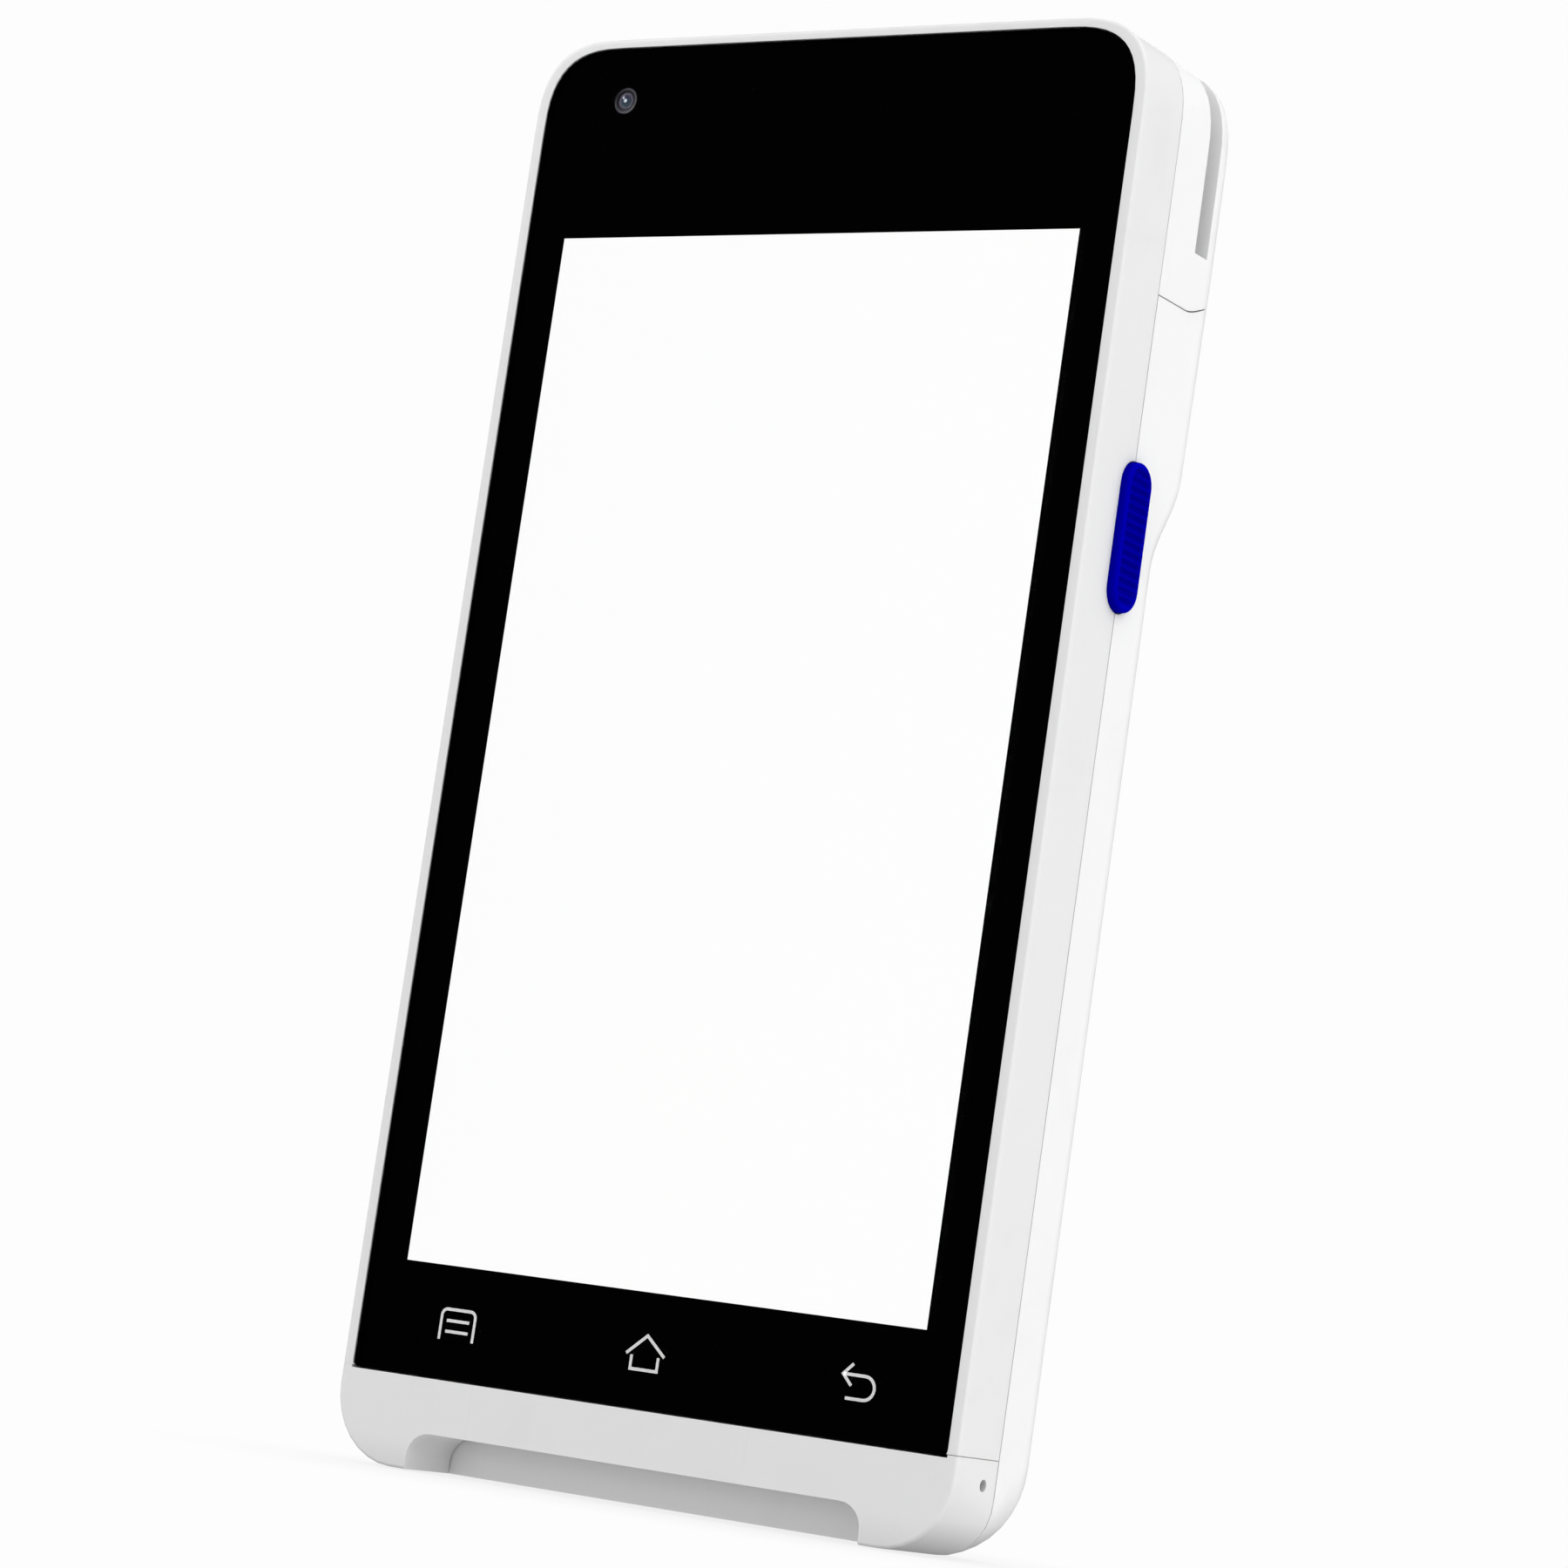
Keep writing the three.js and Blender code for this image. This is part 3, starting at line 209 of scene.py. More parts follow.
def handling_marks():
    """Faint smears and hairline scratches left by hands and pockets."""
    tree, given, out = new_group(
        "handling_marks",
        {"Smear size": 9.0, "Scratch size": 3.0},
        {"Smears": "NodeSocketFloat", "Scratches": "NodeSocketFloat"},
    )
    spot = place_in_mm(tree)
    smear_scale = math_node(tree, "DIVIDE", 1.0, given.outputs["Smear size"])
    smear = add(
        tree, "ShaderNodeTexNoise", {"Vector": spot, "Scale": smear_scale, "Detail": 5.0, "Distortion": 1.4}
    )
    smear_mask = add(tree, "ShaderNodeMapRange", {0: smear.outputs[0], 1: 0.52, 2: 0.75})
    drawn = add(tree, "ShaderNodeMapping", {0: spot, "Rotation": (0.5, 0.3, 0.9), "Scale": (6.0, 1.0, 0.12)})
    scratch_scale = math_node(tree, "DIVIDE", 1.0, given.outputs["Scratch size"])
    scratch = add(
        tree, "ShaderNodeTexNoise", {"Vector": drawn.outputs[0], "Scale": scratch_scale, "Detail": 2.0}
    )
    scratch_mask = add(tree, "ShaderNodeMapRange", {0: scratch.outputs[0], 1: 0.7, 2: 0.74})
    tree.links.new(smear_mask.outputs[0], out.inputs["Smears"])
    tree.links.new(scratch_mask.outputs[0], out.inputs["Scratches"])
    return tree


def drawn_lines():
    """Fine parallel lines of rolled or brushed sheet, along one axis."""
    tree, given, out = new_group(
        "drawn_lines",
        {"Stretch": (0.25, 6.0, 6.0)},
        {"Height": "NodeSocketFloat", "Tone": "NodeSocketFloat"},
    )
    spot = place_in_mm(tree)
    pulled = add(tree, "ShaderNodeVectorMath", {0: spot, 1: given.outputs["Stretch"]}, operation="MULTIPLY")
    lines = add(tree, "ShaderNodeTexNoise", {"Vector": pulled.outputs[0], "Scale": 2.0, "Detail": 4.0})
    tone = add(tree, "ShaderNodeMapRange", {0: lines.outputs[0], 1: 0.3, 2: 0.7, 3: 0.85, 4: 1.0})
    tree.links.new(lines.outputs[0], out.inputs["Height"])
    tree.links.new(tone.outputs[0], out.inputs["Tone"])
    return tree


def recess_painted_shade():
    """How open a spot is to the air round it: 1 on open faces, less in slots and seams, for painting shade
    into colours.
    """
    tree, given, out = new_group(
        "recess_painted_shade", {"Reach": RECESS_REACH * MM}, {"Openness": "NodeSocketFloat"}
    )
    near = add(tree, "ShaderNodeAmbientOcclusion", {"Distance": given.outputs["Reach"]})
    near.samples = 6
    tree.links.new(near.outputs["AO"], out.inputs["Openness"])
    return tree


GRAIN = moulded_grain()
MARKS = handling_marks()
LINES = drawn_lines()
RECESS = recess_painted_shade()


def new_material(name):
    made = bpy.data.materials.new(name)
    made.use_nodes = True
    tree = made.node_tree
    tree.nodes.clear()
    shader = tree.nodes.new("ShaderNodeBsdfPrincipled")
    output = tree.nodes.new("ShaderNodeOutputMaterial")
    tree.links.new(shader.outputs[0], output.inputs["Surface"])
    return made, tree, shader


def group(tree, made_group, **values):
    node = tree.nodes.new("ShaderNodeGroup")
    node.node_tree = made_group
    for name, value in values.items():
        node.inputs[name.replace("_", " ")].default_value = value
    return node


def bump(tree, shader, height, strength, depth):
    made = add(tree, "ShaderNodeBump", {"Height": height, "Strength": strength, "Distance": depth * MM})
    tree.links.new(made.outputs[0], shader.inputs["Normal"])


# ---- Finishes ----


def moulded_plastic(
    name, colour, roughness, grain=0.12, depth=0.006, specular=0.5, coat=0.0, translucent=0.0
):
    """Moulded plastic: spark-eroded grain, slight tone drift, hand smears that change the gloss, and painted
    shade in slots and seams.
    """
    made, tree, shader = new_material(name)
    grain_node = group(tree, GRAIN, Grain_size=grain)
    marks = group(tree, MARKS)
    smears = blend_colours(tree, marks.outputs["Smears"], toned(colour), toned(colour, SMEAR_TONE))
    scuffs = blend_colours(tree, marks.outputs["Scratches"], smears, toned(colour, SCRATCH_TONE))
    # Painted shade: the colour darkens by the recess tone in slots, seams and other closed-in spots.
    openness = group(tree, RECESS).outputs["Openness"]
    shade = blend_colours(tree, openness, toned(colour, RECESS_PAINTED_SHADE_TONE), scuffs)
    tree.links.new(shade, shader.inputs["Base Color"])
    shader.inputs["Subsurface Weight"].default_value = translucent
    shader.inputs["Subsurface Scale"].default_value = LIGHT_REACH * MM
    shader.inputs["Subsurface Radius"].default_value = (1.0, 1.0, 1.0)
    gloss = math_node(tree, "MULTIPLY", grain_node.outputs["Gloss change"], 0.18)
    smeared = math_node(tree, "MULTIPLY", marks.outputs["Smears"], -0.06)
    rough = math_node(tree, "ADD", math_node(tree, "ADD", gloss, smeared), roughness, clamp=True)
    tree.links.new(rough, shader.inputs["Roughness"])
    shader.inputs["Specular IOR Level"].default_value = specular
    shader.inputs["Coat Weight"].default_value = coat
    bump(tree, shader, grain_node.outputs["Height"], 0.35, depth)
    return made


def metal(name, colour, roughness, stretch=(0.25, 6.0, 6.0), metallic=1.0, depth=0.004):
    """Rolled, cast or plated metal with fine lines and smears."""
    made, tree, shader = new_material(name)
    lines = group(tree, LINES, Stretch=stretch)
    marks = group(tree, MARKS, Smear_size=2.5)
    drawn = blend_colours(tree, lines.outputs["Tone"], toned(colour, 0.8), toned(colour))
    stained = blend_colours(tree, marks.outputs["Smears"], drawn, toned(colour, 0.82))
    tree.links.new(stained, shader.inputs["Base Color"])
    smeared = math_node(tree, "MULTIPLY", marks.outputs["Smears"], 0.15)
    tree.links.new(math_node(tree, "ADD", smeared, roughness, clamp=True), shader.inputs["Roughness"])
    shader.inputs["Metallic"].default_value = metallic
    bump(tree, shader, lines.outputs["Height"], 0.3, depth)
    return made


def solder_mask():
    """Green lacquer over copper tracks, with a fine weave of glass cloth under it."""
    made, tree, shader = new_material("board_lacquer")
    spot = place_in_mm(tree)
    pattern = {"Vector": spot, "Scale": 0.9, "Mortar Size": 0.03, "Color1": (1, 1, 1, 1)}
    tracks = add(tree, "ShaderNodeTexBrick", pattern)
    weave = add(tree, "ShaderNodeTexWave", {"Vector": spot, "Scale": 2.4, "Distortion": 0.4})
    lacquer = blend_colours(tree, tracks.outputs["Fac"], (0.012, 0.11, 0.035, 1), (0.03, 0.2, 0.06, 1))
    woven = blend_colours(tree, weave.outputs["Fac"], lacquer, (0.02, 0.14, 0.045, 1))
    tree.links.new(woven, shader.inputs["Base Color"])
    tree.links.new(
        add(tree, "ShaderNodeMapRange", {0: weave.outputs["Fac"], 3: 0.3, 4: 0.42}).outputs[0],
        shader.inputs["Roughness"],
    )
    bump(tree, shader, tracks.outputs["Fac"], 0.5, 0.03)
    return made


def clear_glass(name, tint=(1.0, 1.0, 1.0)):
    """Clear polished glass that lets light straight through to what lies behind it."""
    made, tree, shader = new_material(name)
    marks = group(tree, MARKS, Smear_size=16.0)
    shader.inputs["Base Color"].default_value = toned(tint)
    shader.inputs["Transmission Weight"].default_value = 1.0
    shader.inputs["IOR"].default_value = 1.46
    smeared = math_node(tree, "MULTIPLY", marks.outputs["Smears"], 0.012)
    tree.links.new(smeared, shader.inputs["Roughness"])
    clear = add(tree, "ShaderNodeBsdfTransparent")
    ray = add(tree, "ShaderNodeLightPath")
    in_shadow = ray.outputs["Is Shadow Ray"]
    mix = add(tree, "ShaderNodeMixShader", {0: in_shadow, 1: shader.outputs[0], 2: clear.outputs[0]})
    tree.links.new(mix.outputs[0], tree.nodes["Material Output"].inputs["Surface"])
    return made


def printed_ink(name, colour, roughness, glow=0.0):
    """Screen-printed ink: flat, with the faint mottle of a printed film; where a glow is given, it is painted
    light that brightens the ink.
    """
    made, tree, shader = new_material(name)
    grain = group(tree, GRAIN, Grain_size=0.08, Uneven_size=6.0)
    drift = math_node(tree, "MULTIPLY", grain.outputs["Gloss change"], 0.1)
    mottle = math_node(tree, "ADD", drift, roughness)
    tree.links.new(mottle, shader.inputs["Roughness"])
    tone = blend_colours(tree, grain.outputs["Height"], toned(colour), toned(colour, 0.96))
    tree.links.new(tone, shader.inputs["Base Color"])
    # Painted light: the ink glows in its own tone, by the given glow.
    tree.links.new(tone, shader.inputs["Emission Color"])
    shader.inputs["Emission Strength"].default_value = glow
    shader.inputs["Specular IOR Level"].default_value = 0.0
    bump(tree, shader, grain.outputs["Height"], 0.1, 0.002)
    return made


def lit_panel():
    """A lit white screen: even, with the slightest fall-off and cell structure."""
    made, tree, shader = new_material("lit_panel")
    spot = place_in_mm(tree)
    cloud = add(tree, "ShaderNodeTexNoise", {"Vector": spot, "Scale": 0.03, "Detail": 1.0})
    cells = add(tree, "ShaderNodeTexChecker", {"Vector": spot, "Scale": 8.0})
    warm, cool = (0.995, 0.995, 0.99), (0.985, 0.99, 1.0)
    tone = blend_colours(tree, cloud.outputs[0], toned(warm), toned(cool))
    grid = blend_colours(tree, cells.outputs["Fac"], tone, toned(warm, 0.997))
    tree.links.new(grid, shader.inputs["Emission Color"])
    shader.inputs["Emission Strength"].default_value = LIT_STRENGTH
    shader.inputs["Base Color"].default_value = (0.02, 0.02, 0.02, 1)
    shader.inputs["Roughness"].default_value = 0.5
    shader.inputs["Specular IOR Level"].default_value = 0.0
    return made


# The front shell and chin are the same white plastic as the rear; their darker white is painted shade.
FRONT_PLASTIC_PAINTED_SHADE = moulded_plastic("front_plastic_painted_shade", (0.8, 0.8, 0.8), 0.42, translucent=0.3)
REAR_PLASTIC = moulded_plastic("rear_plastic", (0.89, 0.89, 0.89), 0.42, translucent=0.3)
INK_BLACK = printed_ink("border_ink", (0.0006, 0.0006, 0.0006), 0.6)
# The white symbols glow as painted light, to look brighter.
INK_WHITE_PAINTED_GLOW = printed_ink("symbol_ink_painted_glow", (0.92, 0.92, 0.92), 0.5, glow=0.5)
FINISHES = {
    "casing_white": REAR_PLASTIC,
    "side_key_white": moulded_plastic("side_key_plastic", (0.88, 0.88, 0.88), 0.35, grain=0.09, depth=0.003),
    "scan_key_blue": moulded_plastic(
        "scan_key_plastic", (0.0007, 0.0001, 0.38), 0.5, grain=0.1, depth=0.003, specular=0.0
    ),
    "cover_glass": clear_glass("screen_glass"),
    "lens_glass": clear_glass("lens_glass", tint=(0.9, 0.92, 1.0)),
    "display": lit_panel(),
    "backlight": metal("backlight_sheet", (0.62, 0.63, 0.65), 0.35),
    "antenna_copper": metal("copper_track", (0.86, 0.42, 0.25), 0.3),
    "chassis_metal": metal("cast_chassis", (0.5, 0.52, 0.54), 0.45, stretch=(2.0, 2.0, 2.0), depth=0.01),
    "board_green": solder_mask(),
    "sheet_steel": metal("tinned_sheet", (0.7, 0.71, 0.73), 0.28),
    "dark_plastic": moulded_plastic("dark_plastic", (0.02, 0.021, 0.023), 0.5),
    "contact_gold": metal("gold_plate", (0.92, 0.66, 0.28), 0.25),
    "battery_film": moulded_plastic(
        "battery_film", (0.03, 0.032, 0.036), 0.38, grain=0.5, depth=0.01, coat=0.2
    ),
    "head_metal": metal("polished_head", (0.55, 0.56, 0.58), 0.2, stretch=(0.3, 0.3, 9.0)),
    "weight_metal": metal("sintered_weight", (0.33, 0.34, 0.35), 0.5, stretch=(3.0, 3.0, 3.0)),
    "flash_lamp": moulded_plastic("flash_phosphor", (0.78, 0.66, 0.16), 0.35),
    "speaker_mesh": metal("mesh_cloth", (0.05, 0.05, 0.055), 0.55, stretch=(9.0, 9.0, 9.0), metallic=0.4),
    "screw_steel": metal("screw_steel", (0.62, 0.63, 0.65), 0.3, stretch=(5.0, 1.0, 5.0)),
}

for name, node in NODES.items():
    node.data.materials.clear()
    node.data.materials.append(FINISHES[SLOT_OF[name]])


# ---- Pieces made from the frame's solids ----


def smooth_and_sharpen(mesh, angle=SHARP):
    mesh.shade_smooth()
    mesh.set_sharp_from_angle(angle=angle)


def round_edges(piece, width):
    """Small rounded edges, with flat faces that stay flat under the light."""
    edge = piece.modifiers.new("rounded_edges", "BEVEL")
    edge.width = width * MM
    edge.segments = 2
    edge.limit_method = "ANGLE"
    edge.angle_limit = SHARP
    edge.harden_normals = True
    edge.use_clamp_overlap = True
    edge.miter_outer = "MITER_ARC"
    shine = piece.modifiers.new("flat_faces", "WEIGHTED_NORMAL")
    shine.keep_sharp = True


def cleaned(mesh):
    """A faceted solid's mesh with shared corners and whole flat faces."""
    work = bmesh.new()
    work.from_mesh(mesh)
    bmesh.ops.remove_doubles(work, verts=work.verts, dist=MERGE)
    bmesh.ops.dissolve_limit(work, angle_limit=FLAT, verts=work.verts, edges=work.edges)
    bmesh.ops.dissolve_degenerate(work, dist=MERGE, edges=work.edges)
    fresh = bpy.data.meshes.new(mesh.name + "_smooth")
    work.to_mesh(fresh)
    work.free()
    return fresh


def draw_in(mesh, level, shift):
    """Moves the faces that lie at one height, to make a seam finer (millimetres)."""
    for corner in mesh.vertices:
        if abs(corner.co.z / MM - level) < SEAM_TOLERANCE:
            corner.co.z += shift * MM


def finished(name, finish, edge, seam=None):
    """A piece of the shape of its CAD node, with rounded edges and a finish. A seam is (height, shift)."""
    mesh = cleaned(NODES[name].data)
    if seam:
        draw_in(mesh, *seam)
    mesh.materials.append(finish)
    smooth_and_sharpen(mesh)
    piece = bpy.data.objects.new(name + "_finished", mesh)
    scene.collection.objects.link(piece)
    round_edges(piece, edge)
    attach(piece, BODY_OF[name])
    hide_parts(name)
    return piece


finished("front_frame", FRONT_PLASTIC_PAINTED_SHADE, SHELL_EDGE, seam=(CHIN_SEAM["frame"], -CHIN_SEAM["drawn_in"]))
finished("lower_front_cap", FRONT_PLASTIC_PAINTED_SHADE, SHELL_EDGE, seam=(CHIN_SEAM["cap"], CHIN_SEAM["drawn_in"]))
for shell in ("rear_cover", "reader_housing", "battery_door"):
    finished(shell, REAR_PLASTIC, SHELL_EDGE)


# ---- Side keys ----


def link_mesh(name, work, finish, body):
    """A finished piece from mesh work, with its finish, riding on a body."""
    mesh = bpy.data.meshes.new(name)
    bmesh.ops.recalc_face_normals(work, faces=work.faces)
    work.to_mesh(mesh)
    work.free()
    mesh.materials.append(finish)
    piece = bpy.data.objects.new(name, mesh)
    scene.collection.objects.link(piece)
    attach(piece, body)
    return piece


def stadium_loop(half_width, radius, half_length, steps):
    """A slim loop round a middle line, in (across, along): straight sides and half-round ends."""
    straight = half_length - half_width
    side = [straight * (2 * i / steps - 1) for i in range(steps + 1)]
    turn = [math.pi * i / END_STEPS for i in range(1, END_STEPS)]
    right = [(radius, along) for along in side]
    top = [(radius * math.cos(a), straight + radius * math.sin(a)) for a in turn]
    left = [(-radius, -along) for along in side]
    foot = [(-radius * math.cos(a), -straight - radius * math.sin(a)) for a in turn]
    return right + top + left + foot


def rib_depth(along, inset, ribs, pitch):
    """How far a crown is cut back between its ribs, fading out towards its edge."""
    if not ribs or abs(along) > pitch * (ribs - 1) / 2:
        return 0.0
    fade = min(1.0, max(0.0, (inset - RIB_BORDER) / RIB_FADE))
    wave = (1 + math.cos(2 * math.pi * along / pitch)) / 2
    return RIB_DEPTH * wave**0.7 * fade


def key_levels(inner, crown, half_width):
    """A key's section from its flange to the middle of its crown, as (inset, distance out)."""
    shoulder = inner + KEY_FLANGE
    levels = [(-KEY_OVERHANG, inner), (-KEY_OVERHANG, shoulder), (0, shoulder), (0, crown - CROWN_ROUNDING)]
    for i in range(1, CROWN_STEPS + 1):
        angle = math.pi / 2 * i / CROWN_STEPS
        inset = CROWN_ROUNDING * (1 - math.cos(angle))
        levels.append((inset, crown - CROWN_ROUNDING * (1 - math.sin(angle))))
    flat = half_width - CROWN_ROUNDING
    levels += [(CROWN_ROUNDING + flat * i / FLAT_STEPS, crown) for i in range(1, FLAT_STEPS)]
    return levels + [(half_width - 0.02, crown)]


def close_crown(work, loop, steps):
    """Fills the slim last loop of a crown with a row of faces and its two ends."""
    half = len(loop) // 2
    for i in range(steps):
        mirror = half + steps - i
        work.faces.new((loop[i], loop[i + 1], loop[mirror - 1], loop[mirror]))
    work.faces.new(loop[steps : half + 1])
    work.faces.new(loop[half + steps :] + loop[:1])


def side_key(name, ribs=0):
    """A key with a softly rounded crown, a stem and the flange that keeps it in, in place of its CAD node."""
    low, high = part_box(name)
    side = 1 if high.x > 0 else -1
    middle = (low + high) / 2
    inner, crown = sorted((abs(low.x) / MM, abs(high.x) / MM))
    half_width = (high.y - low.y) / 2 / MM - KEY_OVERHANG
    half_length = (high.z - low.z) / 2 / MM - KEY_OVERHANG
    pitch = 2 * half_length / (ribs + RIB_SPARE) if ribs else 1.0
    steps = max(24, ribs * 10)
    work = bmesh.new()
    rings = []
    for inset, out in key_levels(inner, crown, half_width):
        ring = []
        for across, along in stadium_loop(half_width, half_width - inset, half_length, steps):
            depth = rib_depth(along, inset, ribs, pitch) if out > crown - 0.2 else 0.0
            spot = (side * (out - depth), middle.y / MM + across, middle.z / MM + along)
            ring.append(work.verts.new(tuple(value * MM for value in spot)))
        rings.append(ring)
    for ring, following in zip(rings, rings[1:]):
        for i, corner in enumerate(ring):
            after = (i + 1) % len(ring)
            work.faces.new((corner, ring[after], following[after], following[i]))
    close_crown(work, rings[-1], steps)
    work.faces.new(rings[0])
    piece = link_mesh(name + "_finished", work, FINISHES[SLOT_OF[name]], BODY_OF[name])
    smooth_and_sharpen(piece.data, math.radians(50))
    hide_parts(name)


side_key("scan_key", SCAN_KEY_RIBS)
side_key("power_key")
side_key("volume_rocker")


# ---- Screen ----

GLASS_LOW, GLASS_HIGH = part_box("cover_glass")
LENS_LOW, LENS_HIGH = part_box("front_camera_lens")
LENS_CENTRE = (LENS_LOW + LENS_HIGH) / 2 + Vector(EYE_SHIFT) * MM


def glass_pane():
    """The cover glass, with black ink on its edge all round and a polished front edge."""
    pane = finished("cover_glass", FINISHES["cover_glass"], GLASS_EDGE).data
    pane.materials.append(INK_BLACK)
    for face in pane.polygons:
        face.material_index = int(abs(face.normal.y) < 0.5)


glass_pane()


def loop_sheet(outer, holes, front, back):
    """A thin sheet with straight holes: closed, filled between its loops of (x, z) points."""
    work = bmesh.new()
    edges = []
    for loop in (outer, *holes):
        corners = [work.verts.new((x, front, z)) for x, z in loop]
        edges += [work.edges.new((a, b)) for a, b in zip(corners, corners[1:] + corners[:1])]
    bmesh.ops.triangle_fill(work, use_beauty=True, edges=edges, normal=(0, -1, 0))
    made = bmesh.ops.extrude_face_region(work, geom=list(work.faces))
    moved = [part for part in made["geom"] if isinstance(part, bmesh.types.BMVert)]
    bmesh.ops.translate(work, verts=moved, vec=(0, back - front, 0))
    return work


def circle(cx, cz, radius, steps=64):
    turn = [2 * math.pi * i / steps for i in range(steps)]
    return [(cx + radius * math.cos(a), cz + radius * math.sin(a)) for a in turn]


def glass_outline(inset):
    """The outline of the glass, seen from the front, drawn in by an inset."""
    half = GLASS_HIGH.x - inset
    foot, top = GLASS_LOW.z + inset, GLASS_HIGH.z - inset
    corner, power, steps = 10 * MM, 3, 24
    right = [(half, foot)]
    for i in range(steps + 1):
        angle = math.pi / 2 * i / steps
        across = max(0.0, math.cos(angle)) ** (2 / power)
        up = math.sin(angle) ** (2 / power)
        right.append((half - corner + corner * across, top - corner + corner * up))
    return right + [(-x, z) for x, z in reversed(right)]


PRINT_FRONT = GLASS_HIGH.y + PRINT_GAP * MM
window = [
    (LIT_WINDOW[side] * MM, LIT_WINDOW[level] * MM)
    for side, level in (("left", "foot"), ("right", "foot"), ("right", "top"), ("left", "top"))
]
border = loop_sheet(
    glass_outline(PRINT_MARGIN * MM),
    [window, circle(LENS_CENTRE.x, LENS_CENTRE.z, CAMERA_APERTURE / 2 * MM)],
    PRINT_FRONT,
    PRINT_FRONT + PRINT_THICKNESS * MM,
)
link_mesh("screen_border_print", border, INK_BLACK, "casing")


def ribbon(points, width):
    """Both edges of an open line of (x, z) points drawn at a width, as one loop with mitred corners."""
    sides = ([], [])
    for i, (x, z) in enumerate(points):
        before = Vector(points[i]) - Vector(points[i - 1]) if i else None
        after = Vector(points[i + 1]) - Vector(points[i]) if i + 1 < len(points) else None
        steps = [step.normalized() for step in (before, after) if step is not None]
        along = sum(steps, Vector((0, 0))).normalized()
        across = Vector((-along.y, along.x)) * width / 2 / max(0.5, along.dot(steps[0]))
        sides[0].append((x + across.x, z + across.y))
        sides[1].append((x - across.x, z - across.y))
    return sides[0] + sides[1][::-1]


def arc(cx, cz, radius, start, end, steps=10):
    angles = [math.radians(start + (end - start) * i / steps) for i in range(steps + 1)]
    return [(cx + radius * math.cos(a), cz + radius * math.sin(a)) for a in angles]


def symbol(name, lines):
    """A touch key's symbol from open lines in millimetres, printed in white behind the glass."""
    front = GLASS_HIGH.y + SYMBOL_GAP * MM
    whole = bmesh.new()
    for line in lines:
        loop = ribbon([(x * MM, z * MM) for x, z in line], SYMBOL_STROKE * MM)
        part = loop_sheet(loop, [], front, front + SYMBOL_THICKNESS * MM)
        spare = bpy.data.meshes.new("spare")
        part.to_mesh(spare)
        part.free()
        whole.from_mesh(spare)
        bpy.data.meshes.remove(spare)
    link_mesh(name, whole, INK_WHITE_PAINTED_GLOW, "casing")


def menu_symbol(x, z):
    half, tall, bend = 2.3, 1.7, 0.7
    hood = [(x - half, z - tall), *arc(x - half + bend, z + tall - bend, bend, 180, 90)]
    hood += [*arc(x + half - bend, z + tall - bend, bend, 90, 0), (x + half, z - tall)]
    inner = half - 0.75
    bars = [[(x - inner, z + level), (x + inner, z + level)] for level in (0.45, -0.75)]
    symbol("menu_key_symbol", [hood, *bars])


def home_symbol(x, z):
    eaves, ridge, foot, wall = 2.5, 1.85, -1.85, 1.75
    roof = [(x - eaves, z - 0.25), (x, z + ridge), (x + eaves, z - 0.25)]
    box = [(x - wall, z - 0.35), (x - wall, z + foot), (x + wall, z + foot), (x + wall, z - 0.35)]
    symbol("home_key_symbol", [roof, box])


def back_symbol(x, z):
    left, head, radius = x - 2.0, 1.15, 1.25
    middle = z + 0.85
    hook = [(left + 0.1, middle), *arc(x + 0.8, middle - radius, radius, 90, -90)]
    hook += [(x - 1.4, middle - 2 * radius)]
    arrow = [(left + head, middle + head), (left, middle), (left + head, middle - head)]
    symbol("back_key_symbol", [hook, arrow])


menu_symbol(SYMBOLS_AT["menu"], SYMBOL_Z)
home_symbol(SYMBOLS_AT["home"], SYMBOL_Z)
back_symbol(SYMBOLS_AT["back"], SYMBOL_Z)


# ---- Cameras and flash ----


def turned(name, profile, centre, facing, finish, steps=64):
    """A turned piece: (radius, depth) in millimetres, spun round an axis along y. Depth runs inwards."""
    work = bmesh.new()
    rings = []
    for radius, depth in profile:
        y = centre.y - facing * depth * MM
        if radius == 0:
            rings.append([work.verts.new((centre.x, y, centre.z))])
            continue
        rings.append([work.verts.new((x, y, z)) for x, z in circle(centre.x, centre.z, radius * MM, steps)])
    hollow = profile[0][0] > 0
    following = rings[1:] + rings[:1] if hollow else rings[1:]
    for near, far in zip(rings, following):
        for i in range(steps):
            after = (i + 1) % steps
            spots = [near[i % len(near)], near[after % len(near)], far[after % len(far)], far[i % len(far)]]
            corners = list(dict.fromkeys(spots))
            if len(corners) > 2:
                work.faces.new(corners)
    piece = link_mesh(name, work, finish, "casing")
    smooth_and_sharpen(piece.data, math.radians(35))
    return piece


def dome(radius, bulge, thickness, steps=10):
    """The profile of a lens: a domed front and a flat back."""
    angles = [math.pi / 2 * i / steps for i in range(1, steps + 1)]
    front = [(radius * math.sin(angle), -bulge * math.cos(angle)) for angle in angles]
    return [(0, -bulge)] + front + [(radius, thickness), (0, thickness)]


def tinted_ring(name, colour, roughness):
    """Coated ring, finely turned."""
    return metal(name, colour, roughness, stretch=(8.0, 0.3, 8.0), metallic=0.0, depth=0.002)


